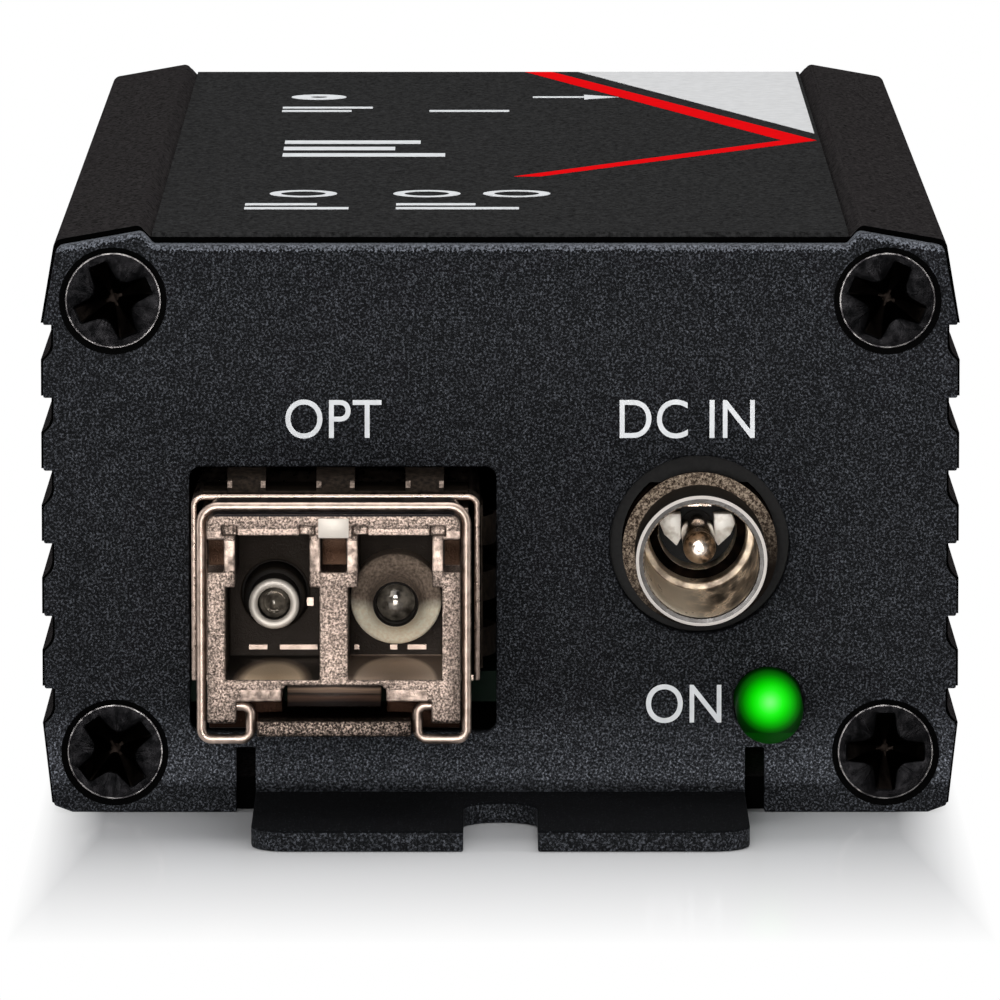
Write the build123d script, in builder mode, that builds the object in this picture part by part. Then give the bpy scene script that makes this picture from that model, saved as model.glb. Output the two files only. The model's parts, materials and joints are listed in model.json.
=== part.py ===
from build123d import *
import os

os.makedirs("parts", exist_ok=True)

# A small converter box. X is across, Y runs from front to back, Z is up from the underside of the body.
# All sizes are in millimetres.

# Body extrusion
body_width = 47.56
body_length = 91.6
corner_height = 29.75
top_flare = 0.73
bottom_flare = 0.47
shoulder_width = 4.40
shoulder_rise = 0.78
recess_depth = 0.67
recess_wall_run = 0.60
shoulder_radius = 0.40
corner_radius = 0.50
foot_edge_run = 0.95
foot_edge_rise = 0.35
groove_count = 6
groove_height = 1.92
groove_depth = 0.54
groove_straight = 0.95
first_groove_drop = 4.30
last_groove_height = 4.555
floor_wall = 1.70
roof_wall = 1.60
side_wall = 1.25
rail_depth = 1.10
rail_height = 0.80
rail_clearance = 0.10

# End panels, bent from one sheet
sheet = 1.10
panel_side_inset = 0.15
panel_top_inset = 0.25
bend_radius = 0.50
flange_length = 12.80
flange_width = 25.40
flange_corner_radius = 1.90
relief_width = 1.00
relief_height = 3.40
slot_width = 3.80
slot_end_gap = 3.50

# Panel screws
screw_side_gap = 3.78
screw_low_z = 3.12
screw_drop = 3.05
screw_radius = 1.25
screw_bore_radius = 1.27
screw_length = 7.0
screw_head_radius = 2.525
sink_radius = 2.80
boss_radius = 2.30
cross_span = 4.00
cross_arm = 0.90
cross_core_radius = 0.95
cross_depth = 1.30
cross_taper = 14
front_screw_turns = (23, -23, 0, 37)
rear_screw_turns = (10, 52, -31, 5)

# Top label
label_side_gap = 0.05
label_length = 90.6
label_thickness = 0.25

# Main circuit board
board_bottom = 5.60
board_thickness = 1.60
board_end_gap = 0.30
board_side_gap = 0.12

# Transceiver cage
cage_screw_gap = 1.25
cage_width = 14.90
cage_height = 9.70
cage_length = 48.80
cage_sheet = 0.30
cage_proud = 2.00
cage_joint_gap = 0.05
cage_pin_width = 0.60
cage_pin_length = 2.60
cage_pin_clearance = 0.20
cage_vent_radius = 0.60
port_opening_height = 13.90
port_opening_left_gap = 0.15
port_opening_right_gap = 0.85
port_opening_top_gap = 1.18
port_opening_radius = 0.60
finger_count = 3
finger_width = 2.00
finger_end_gap = 1.25
finger_sheet = 0.15
finger_touch_gap = 0.02
side_finger_width = 1.50
side_finger_end_gap = 0.60
collar_length = 3.60
collar_setback = 0.30
tongue_width = 3.60
tongue_length = 12.50
tongue_setback = 0.60
tongue_gap = 0.20

# Transceiver
nose_proud = 9.50
nose_side_gap = 1.00
nose_top_clearance = 0.055
nose_cage_gap = 0.50
nose_corner_radius = 0.60
module_floor_gap = 0.05
module_height = 8.45
module_side_gap = 0.85
module_end_gap = 1.10
module_side_wall = 0.85
cover_sheet = 0.25
fiber_height = 11.60
port_floor = 8.33
port_floor_wall = 0.45
port_side_wall = 0.925
port_middle_wall = 1.45
port_shoulder_height = 13.09
port_top = 15.75
port_step = 0.50
port_depth = 8.50
port_back_wall = 1.00
latch_post = 0.55
latch_pocket_low = 13.87
latch_pocket_high = 15.55
latch_pocket_depth = 2.60
centre_pocket_top = 16.35
top_notch_width = 0.80
top_notch_height = 0.50
top_notch_depth = 0.45
barrel_tip_setback = 4.50
barrel_clearance = 0.05
barrel_neck_share = 0.71
barrel_bore_depth = 3.00
chin_bottom = 5.40
chin_bar_height = 0.80
bail_bar_gap = 0.08
chin_channel_side = 3.80
chin_block_width = 1.48
chin_block_height = 1.78
chin_block_depth = 1.90
chin_tab_width = 2.30
chin_tab_height = 0.66
chin_tab_depth = 1.45
module_board_bottom = 10.60
module_board_thickness = 1.00
module_board_side_gap = 0.35
module_board_front = -41.0
card_overlap = 2.80
lock_boss_y = -41.0
lock_boss_size = 1.80
lock_boss_drop = 0.42

# Bail and release slider
wire_radius = 0.25
wire_sides = 12
bail_setback = 0.80
bail_pivot_z = 6.90
bail_bottom_z = 5.18
bail_top_z = 17.13
bail_side_gap = 0.055
bail_foot = 2.50
bail_pin = 1.50
bail_bend = 0.45
bail_top_bend = 0.85
bail_bottom_bend = 0.60
pivot_clearance = 0.055
slider_channel_gap = 0.25
slider_sheet = 0.38
slider_floor_gap = 0.12
slider_side_gap = 0.10
slider_roof_gap = 0.05
slider_tab_height = 1.10
slider_front_setback = 1.60
slider_travel = 1.20
slider_stop_gap = 0.40

# Host connector
host_slot_wall = 0.30
host_height = 5.80
host_length = 5.60
host_back_gap = 0.90
host_slot_gap = 0.08
host_contact_pitch = 0.80
host_contacts = 10

# DC power jack
jack_share = 0.622
jack_height = 14.00
jack_hole_radius = 4.65
jack_thread_radius = 4.00
jack_thread_proud = 1.80
jack_flat_height = 3.10
jack_flat_land = 0.50
jack_tube_radius = 3.35
jack_tube_proud = 6.20
jack_bore_radius = 2.95
jack_bore_depth = 10.30
jack_mid_radius = 2.75
jack_mid_depth = 11.60
jack_seat_radius = 2.05
jack_seat_depth = 13.70
jack_pin_radius = 0.85
jack_pin_tip_setback = 4.60
jack_body_width = 9.80
jack_body_top = 18.60
jack_body_length = 12.50
jack_slot_width = 1.45
jack_leaf_sheet = 0.30
jack_leaf_reach = 2.00
jack_fit = 0.02

# Indicator lamp
lamp_share = 0.819
lamp_height = 5.75
lamp_radius = 1.75
lamp_clearance = 0.10
lamp_fit = 0.02
lamp_proud = 2.60
lamp_rim_radius = 1.95
lamp_rim = 0.60
lamp_body_length = 7.00
lead_radius = 0.225
lead_spread = 1.27
lead_length = 4.50
lamp_holder_wall = 0.50
lamp_holder_length = 2.20

# Coaxial jacks at the rear
coax_height = 14.0
coax_thread_radius = 6.10
coax_hole_radius = 6.35
coax_thread_length = 6.20
coax_barrel_radius = 4.80
coax_barrel_length = 9.80
coax_bore_radius = 4.10
coax_bore_depth = 9.00
coax_lug_radius = 1.00
coax_lug_reach = 5.55
coax_lug_setback = 4.40
coax_insulator_radius = 2.35
coax_insulator_setback = 3.20
coax_contact_radius = 0.75
coax_contact_bore = 0.45
coax_contact_setback = 2.60
coax_contact_slit = 0.20
coax_washer_radius = 7.80
coax_washer = 0.60
coax_nut_flats = 14.20
coax_nut = 2.40
coax_fit = 0.05
coax_block_gap = 3.80
coax_block_length = 14.0
coax_block_rise = 7.0

# Parts on the board: shares of the room beside the cage, distances along Y, and width, length, height
serializer_share = 0.48
serializer_y = -14.0
serializer_size = (10.0, 10.0, 1.10)
equalizer_offset = 1.00
equalizer_y = 22.0
equalizer_size = (4.0, 4.0, 0.90)
regulator_share = 0.777
regulator_y = 17.0
regulator_size = (5.0, 4.0, 1.50)
crystal_offset = 7.00
crystal_y = 12.0
crystal_size = (5.0, 3.2, 1.20)
inductor_share = 0.48
inductor_y = 8.5
inductor_size = (7.3, 7.3, 4.20)
capacitor_radius = 3.15
capacitor_height = 5.80
capacitor_share = 0.48
capacitor_ys = (-27.0, 24.0)
chip_part_size = (0.8, 1.6, 0.80)
chip_part_room = 0.12
chip_part_count = 6

# Worked-out places
front_end = -body_length / 2
back_end = body_length / 2
front_face = front_end - sheet
rib_x = body_width / 2
corner_x = rib_x - top_flare
peak_z = corner_height + shoulder_rise
groove_rows = corner_height - first_groove_drop - groove_height - last_groove_height
groove_pitch = groove_rows / (groove_count - 1)
screw_x = rib_x - screw_side_gap
screw_high_z = corner_height - screw_drop
recess_floor = peak_z - recess_depth
roof_underside = recess_floor - roof_wall
cavity_x = rib_x - groove_depth - side_wall
label_width = 2 * (corner_x - shoulder_width - recess_wall_run - label_side_gap)
board_top = board_bottom + board_thickness
board_x = cavity_x - board_side_gap
cage_x = cage_width / 2 + cage_screw_gap + sink_radius - screw_x
cage_front = front_face - cage_proud
cage_back = cage_front + cage_length
cage_top = board_top + cage_height
cage_inner_x = cage_width / 2 - cage_sheet
cage_floor_top = board_top + cage_sheet
opening_left = cage_x - cage_width / 2 - port_opening_left_gap
port_opening_width = cage_width + port_opening_left_gap + port_opening_right_gap
opening_centre_x = opening_left + port_opening_width / 2
opening_top = cage_top + port_opening_top_gap
opening_centre_z = opening_top - port_opening_height / 2
nose_front = front_face - nose_proud
nose_back = cage_front - nose_cage_gap
nose_top = bail_top_z - wire_radius - nose_top_clearance
nose_bottom = port_floor - port_floor_wall
nose_width = cage_width - 2 * nose_side_gap
module_width = cage_width - 2 * module_side_gap
port_half_width = (nose_width - 2 * port_side_wall - port_middle_wall) / 4
port_upper_half_width = port_half_width - port_step
fiber_pitch = 2 * port_half_width + port_middle_wall
barrel_neck_radius = barrel_neck_share * port_half_width
module_bottom = cage_floor_top + module_floor_gap
module_top = module_bottom + module_height
port_back = nose_front + port_depth
bail_y = nose_front + bail_setback
bail_arm_x = nose_width / 2 + bail_side_gap + wire_radius
bail_upright_x = bail_arm_x - bail_foot
bail_pin_end = bail_upright_x + bail_pin
chin_bar_width = 2 * (bail_upright_x - wire_radius - bail_bar_gap)
chin_channel_width = nose_width - 2 * chin_channel_side
slider_width = chin_channel_width - 2 * slider_channel_gap
host_front = cage_back - cage_sheet - host_back_gap - host_length
module_end_y = host_front - module_end_gap
module_board_width = module_width - 2 * module_side_wall - 2 * module_board_side_gap
host_width = module_board_width + 2 * host_slot_wall
beside_cage = cage_x + cage_width / 2
jack_x = beside_cage + jack_share * (screw_x - sink_radius - beside_cage)
lamp_x = beside_cage + lamp_share * (screw_x - sink_radius - beside_cage)
board_room = cavity_x - rail_depth - beside_cage
coax_x = cavity_x / 2
coax_block_width = cavity_x - 2 * coax_block_gap
jack_mouth = front_face - jack_tube_proud
jack_body_front = front_end + board_end_gap
lamp_back = front_face - lamp_proud + lamp_body_length
screw_points = (
    (-screw_x, screw_high_z),
    (screw_x, screw_high_z),
    (screw_x, screw_low_z),
    (-screw_x, screw_low_z),
)

# The two end faces of the extrusion, each with its normal pointing outwards and its own Y pointing up
front_plane = Plane(origin=(0, front_end, 0), x_dir=(1, 0, 0), z_dir=(0, -1, 0))
rear_plane = Plane(origin=(0, back_end, 0), x_dir=(-1, 0, 0), z_dir=(0, 1, 0))


def upright(y):
    """Vertical plane across the object at this distance along Y, facing the front."""
    return Plane(origin=(0, y, 0), x_dir=(1, 0, 0), z_dir=(0, -1, 0))


def side_plane(x=0):
    """Vertical plane along the object: local X is world Y, local Y is up."""
    return Plane(origin=(x, 0, 0), x_dir=(0, 1, 0), z_dir=(1, 0, 0))


def body_outline(side_inset=0.0, top_inset=0.0):
    """Ribbed cross-section of the body, as a sketch on the ground plane to be added to another sketch."""
    edge_x = rib_x - side_inset
    corner = (edge_x - top_flare, corner_height - top_inset)
    peak = (corner[0] - shoulder_width, corner[1] + shoulder_rise)
    recess = (peak[0] - recess_wall_run, peak[1] - recess_depth)
    groove_x = edge_x - groove_depth
    first_top = corner_height - first_groove_drop
    with BuildSketch() as outline:
        with BuildLine():
            Polyline((0, recess[1]), recess, peak, corner, (edge_x, first_top))
            for step in range(groove_count):
                top = first_top - step * groove_pitch
                straight_end = top - groove_straight
                bottom = top - groove_height
                Polyline((edge_x, top), (groove_x, top), (groove_x, straight_end))
                TangentArc((groove_x, straight_end), (edge_x, bottom), tangent=(0, -1))
                if step < groove_count - 1:
                    Line((edge_x, bottom), (edge_x, top - groove_pitch))
            Polyline(
                (edge_x, bottom),
                (edge_x - bottom_flare, foot_edge_rise),
                (edge_x - bottom_flare - foot_edge_run, 0),
                (0, 0),
            )
            mirror(about=Plane.YZ)
        make_face()
        fillet(outline.vertices().sort_by(Axis.Y)[-2:], shoulder_radius)
        outer_corners = [
            v for v in outline.vertices() if abs(abs(v.X) - corner[0]) < 1e-6 and v.Y > peak[1] / 2
        ]
        fillet(outer_corners, corner_radius)
    return outline.sketch


# Body extrusion: one profile with hollow, screw ports and board rails along its whole length
with BuildPart() as body_extrusion:
    with BuildSketch(front_plane):
        add(body_outline())
    extrude(amount=-body_length)
    with BuildSketch(front_plane):
        with Locations((0, (floor_wall + roof_underside) / 2)):
            Rectangle(2 * cavity_x, roof_underside - floor_wall)
        port_shift = side_wall
        for side in (-1, 1):
            with Locations(
                (side * (screw_x + port_shift), screw_high_z + port_shift),
                (side * (screw_x + port_shift), screw_low_z - port_shift),
            ):
                port_side = 2 * (boss_radius + port_shift)
                RectangleRounded(port_side, port_side, boss_radius, mode=Mode.SUBTRACT)
            with Locations(
                (side * cavity_x, board_bottom - rail_height / 2),
                (side * cavity_x, board_top + rail_clearance + rail_height / 2),
            ):
                Rectangle(2 * rail_depth, rail_height, mode=Mode.SUBTRACT)
        with Locations(*screw_points):
            Circle(screw_bore_radius)
    extrude(amount=-body_length, mode=Mode.SUBTRACT)
    for end_plane in (front_plane, rear_plane):
        with BuildSketch(end_plane):
            with Locations(*screw_points):
                Circle(sink_radius - sheet)
        extrude(amount=-(sink_radius - sheet - screw_bore_radius), taper=45, mode=Mode.SUBTRACT)
body_extrusion.part.label = "body_extrusion"
export_step(body_extrusion.part, "parts/body_extrusion.step")


def panel_blank(face):
    """Sheet panel with its screw holes and its bent foot, as a solid still without its openings."""
    outward = Plane(origin=face.origin, x_dir=face.z_dir, z_dir=face.z_dir.cross(Vector(0, 0, 1)))
    centre = (sheet + bend_radius, sheet + bend_radius)
    tip = sheet + flange_length
    with BuildPart() as blank:
        with BuildSketch(face):
            add(body_outline(panel_side_inset, panel_top_inset))
        extrude(amount=sheet)
        with BuildSketch(face):
            with Locations((0, (sheet + bend_radius) / 2)):
                Rectangle(flange_width + relief_width, sheet + bend_radius)
            for side in (-1, 1):
                with Locations((side * (flange_width + relief_width) / 2, relief_height / 2)):
                    Rectangle(relief_width, relief_height)
        extrude(amount=sheet, mode=Mode.SUBTRACT)
        with BuildSketch(outward):
            with BuildLine():
                CenterArc(centre, sheet + bend_radius, 180, 90)
                Polyline((centre[0], 0), (tip, 0), (tip, sheet), (centre[0], sheet))
                CenterArc(centre, bend_radius, 180, 90)
                Line((sheet, centre[1]), (0, centre[1]))
            make_face()
        extrude(amount=flange_width / 2, both=True)
        tip_edges = blank.edges().filter_by(Axis.Z)
        tip_edges = tip_edges.sort_by(lambda edge: (edge.center() - face.origin).dot(face.z_dir))[-2:]
        fillet(tip_edges, flange_corner_radius)
        slot_plane = Plane(origin=face.origin, x_dir=face.x_dir, z_dir=(0, 0, 1))
        slot_centre = sheet + slot_end_gap + slot_width / 2
        slot_run = sheet + flange_length - slot_centre
        with BuildSketch(slot_plane):
            with Locations((0, -slot_centre)):
                Circle(slot_width / 2)
            with Locations((0, -slot_centre - slot_run / 2)):
                Rectangle(slot_width, slot_run)
        extrude(amount=sheet, mode=Mode.SUBTRACT)
        with BuildSketch(face.offset(sheet)):
            with Locations(*screw_points):
                Circle(sink_radius)
        extrude(amount=-sheet, taper=45, mode=Mode.SUBTRACT)
    return blank


# Front panel: openings for the transceiver, the power jack and the lamp
with BuildPart() as front_panel:
    add(panel_blank(front_plane).part)
    with BuildSketch(front_plane):
        with Locations((opening_centre_x, opening_centre_z)):
            RectangleRounded(port_opening_width, port_opening_height, port_opening_radius)
        with Locations((jack_x, jack_height)):
            Circle(jack_hole_radius)
        with Locations((lamp_x, lamp_height)):
            Circle(lamp_radius + lamp_clearance)
    extrude(amount=sheet, mode=Mode.SUBTRACT)
front_panel.part.label = "front_panel"
export_step(front_panel.part, "parts/front_panel.step")

# Rear panel: the same blank with two coaxial holes
with BuildPart() as rear_panel:
    add(panel_blank(rear_plane).part)
    with BuildSketch(rear_plane):
        with Locations((-coax_x, coax_height), (coax_x, coax_height)):
            Circle(coax_hole_radius)
    extrude(amount=sheet, mode=Mode.SUBTRACT)
rear_panel.part.label = "rear_panel"
export_step(rear_panel.part, "parts/rear_panel.step")

# One countersunk screw along +Z, with Z = 0 at the end face of the extrusion
head_top = sheet - (sink_radius - screw_head_radius)
with BuildPart() as panel_screw:
    with BuildSketch(Plane.XZ):
        with BuildLine():
            Polyline(
                (0, head_top),
                (screw_head_radius, head_top),
                (screw_radius, head_top - screw_head_radius + screw_radius),
                (screw_radius, head_top - screw_length),
                (0, head_top - screw_length),
                close=True,
            )
        make_face()
    revolve(axis=Axis.Z)
    with BuildSketch(Plane.XY.offset(head_top)):
        Rectangle(cross_span, cross_arm)
        Rectangle(cross_arm, cross_span)
    extrude(amount=-cross_depth, taper=cross_taper, mode=Mode.SUBTRACT)
    with BuildSketch(Plane.XY.offset(head_top)):
        Circle(cross_core_radius)
    extrude(amount=-cross_depth, taper=2 * cross_taper, mode=Mode.SUBTRACT)


def screw_set(face, turns):
    """Four screws in a panel, as separate solids, each turned as it was driven."""
    places = [
        face.location * Location((point[0], point[1], 0), (0, 0, turn))
        for point, turn in zip(screw_points, turns)
    ]
    with BuildPart() as screws:
        with Locations(*places):
            add(panel_screw.part)
    return screws


front_screws = screw_set(front_plane, front_screw_turns)
front_screws.part.label = "front_screws"
export_step(front_screws.part, "parts/front_screws.step")

rear_screws = screw_set(rear_plane, rear_screw_turns)
rear_screws.part.label = "rear_screws"
export_step(rear_screws.part, "parts/rear_screws.step")

# Top label, stuck in the recess between the shoulders
with BuildPart() as top_label:
    with BuildSketch(Plane.XY.offset(recess_floor)):
        Rectangle(label_width, label_length)
    extrude(amount=label_thickness)
top_label.part.label = "top_label"
export_step(top_label.part, "parts/top_label.step")

# Main board, held in the rails, with a notch under the cage's latch and one round the lamp
board_length = body_length - 2 * board_end_gap
board_front = -board_length / 2
latch_notch_width = tongue_width + 4 * tongue_gap
latch_notch_length = cage_front + tongue_setback + tongue_length - board_front
lamp_notch_width = 2 * (lamp_rim_radius + lamp_clearance)
lamp_notch_length = lamp_back + lamp_rim - board_front
cage_pin_ys = [cage_front + cage_length * share for share in (0.25, 0.5, 0.75, 0.96)]
cage_pin_x = cage_width / 2 - cage_sheet / 2
with BuildPart() as main_board:
    with BuildSketch(Plane.XY.offset(board_bottom)):
        Rectangle(2 * board_x, board_length)
        with Locations((cage_x, board_front + latch_notch_length / 2)):
            Rectangle(latch_notch_width, latch_notch_length, mode=Mode.SUBTRACT)
        with Locations((lamp_x, board_front + lamp_notch_length / 2)):
            Rectangle(lamp_notch_width, lamp_notch_length, mode=Mode.SUBTRACT)
        for pin_y in cage_pin_ys:
            with Locations((cage_x - cage_pin_x, pin_y), (cage_x + cage_pin_x, pin_y)):
                Rectangle(
                    cage_sheet + cage_pin_clearance, cage_pin_width + cage_pin_clearance, mode=Mode.SUBTRACT
                )
    extrude(amount=board_thickness)
main_board.part.label = "main_board"
export_step(main_board.part, "parts/main_board.step")

# Cage shell: roof, sides and back of one folded sheet, with pins through the board
with BuildPart() as cage_shell:
    with BuildSketch(upright(cage_front)):
        with Locations((cage_x, board_top + cage_height / 2)):
            Rectangle(cage_width, cage_height)
    extrude(amount=-cage_length)
    fillet(cage_shell.edges().filter_by(Axis.Y).group_by(Axis.Z)[-1], 2 * cage_sheet)
    with BuildSketch(upright(cage_front)):
        with Locations((cage_x, board_top + (cage_height - cage_sheet) / 2)):
            Rectangle(2 * cage_inner_x, cage_height - cage_sheet)
    extrude(amount=-(cage_length - cage_sheet), mode=Mode.SUBTRACT)
    inner_edges = cage_shell.edges().filter_by(Axis.Y)
    inner_edges = [edge for edge in inner_edges if abs(edge.center().Z - cage_top + cage_sheet) < 1e-6]
    fillet(inner_edges, cage_sheet)
    with BuildSketch(Plane.XY.offset(board_top)):
        for pin_y in cage_pin_ys:
            with Locations((cage_x - cage_pin_x, pin_y), (cage_x + cage_pin_x, pin_y)):
                Rectangle(cage_sheet, cage_pin_width)
    extrude(amount=-cage_pin_length)
    with BuildSketch(Plane.XY.offset(cage_top)):
        with Locations((cage_x, cage_front + cage_length / 2)):
            with GridLocations(cage_width / 3, cage_length / 4, 2, 3):
                Circle(cage_vent_radius)
    extrude(amount=-cage_sheet, mode=Mode.SUBTRACT)
cage_shell.part.label = "cage_shell"
export_step(cage_shell.part, "parts/cage_shell.step")

# Cage floor: plate on the board between the shell's sides, cut out for the latch tongue
floor_length = host_front - cage_front - 2 * cage_sheet
tongue_front = cage_front + tongue_setback
window_length = tongue_setback + tongue_length
with BuildPart() as cage_floor:
    with BuildSketch(Plane.XY.offset(board_top)):
        with Locations((cage_x, cage_front + floor_length / 2)):
            Rectangle(2 * (cage_inner_x - cage_joint_gap), floor_length)
        with Locations((cage_x, cage_front + window_length / 2)):
            Rectangle(tongue_width + 2 * tongue_gap, window_length, mode=Mode.SUBTRACT)
    extrude(amount=cage_sheet)
cage_floor.part.label = "cage_floor"
export_step(cage_floor.part, "parts/cage_floor.step")


def boss_triangle(grow=0.0):
    """Triangle of the lock boss in the open sketch, its straight back towards the rear."""
    half = lock_boss_size / 2 + grow
    with Locations((cage_x, lock_boss_y)):
        Polygon((-half, half), (0, -half), (half, half), align=None)


# Latch tongue: a spring leaf in the cage floor, with a three-cornered hole round the lock boss
with BuildPart() as latch_tongue:
    with BuildSketch(Plane.XY.offset(board_top)):
        with Locations((cage_x, tongue_front + tongue_length / 2)):
            Rectangle(tongue_width, tongue_length)
    extrude(amount=cage_sheet)
    with BuildSketch(Plane.XY.offset(board_top)):
        boss_triangle(2 * tongue_gap)
    extrude(amount=cage_sheet, mode=Mode.SUBTRACT)
latch_tongue.part.label = "latch_tongue"
export_step(latch_tongue.part, "parts/latch_tongue.step")

# Spring strips on the cage's roof and right side, with bowed fingers that meet the panel's opening
collar_front = cage_front + collar_setback
collar_back = collar_front + collar_length
collar_middle = (collar_front + collar_back) / 2
cage_side = cage_x + cage_width / 2
cage_middle_z = board_top + cage_height / 2
finger_rise = port_opening_top_gap - finger_sheet / 2 - finger_touch_gap
side_room = opening_left + port_opening_width - cage_side
side_finger_rise = side_room - finger_sheet / 2 - finger_touch_gap


def spring_strip(name, base, width, rise, pitch, finger):
    """Flat strip on the base plane with bowed fingers; the plane's local X runs across the fingers."""
    bow_plane = Plane(origin=base.origin, x_dir=base.y_dir, z_dir=base.x_dir)
    with BuildPart() as strip:
        with BuildSketch(base):
            Rectangle(width, collar_length)
        extrude(amount=finger_sheet)
        with BuildSketch(bow_plane):
            with BuildLine():
                ThreePointArc(
                    (-collar_length / 2, finger_sheet / 2),
                    (0, rise),
                    (collar_length / 2, finger_sheet / 2),
                )
                offset(amount=finger_sheet / 2, side=Side.BOTH)
            make_face()
        extrude(amount=pitch * (finger_count - 1) / 2 + finger / 2, both=True)
        with BuildSketch(base.offset(finger_sheet)):
            with GridLocations(pitch, 1, finger_count - 1, 1):
                Rectangle(pitch - finger, 2 * collar_length)
        extrude(amount=2 * rise, mode=Mode.SUBTRACT)
    strip.part.label = name
    export_step(strip.part, f"parts/{name}.step")


roof_base = Plane(origin=(cage_x, collar_middle, cage_top), x_dir=(1, 0, 0), z_dir=(0, 0, 1))
side_base = Plane(origin=(cage_side, collar_middle, cage_middle_z), x_dir=(0, 0, 1), z_dir=(1, 0, 0))
roof_strip = cage_width - 4 * cage_sheet
side_strip = cage_height - 4 * cage_sheet
roof_pitch = (roof_strip - finger_width - 2 * finger_end_gap) / (finger_count - 1)
side_pitch = (side_strip - side_finger_width - 2 * side_finger_end_gap) / (finger_count - 1)
spring_strip("roof_fingers", roof_base, roof_strip, finger_rise, roof_pitch, finger_width)
spring_strip("side_fingers", side_base, side_strip, side_finger_rise, side_pitch, side_finger_width)

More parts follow.
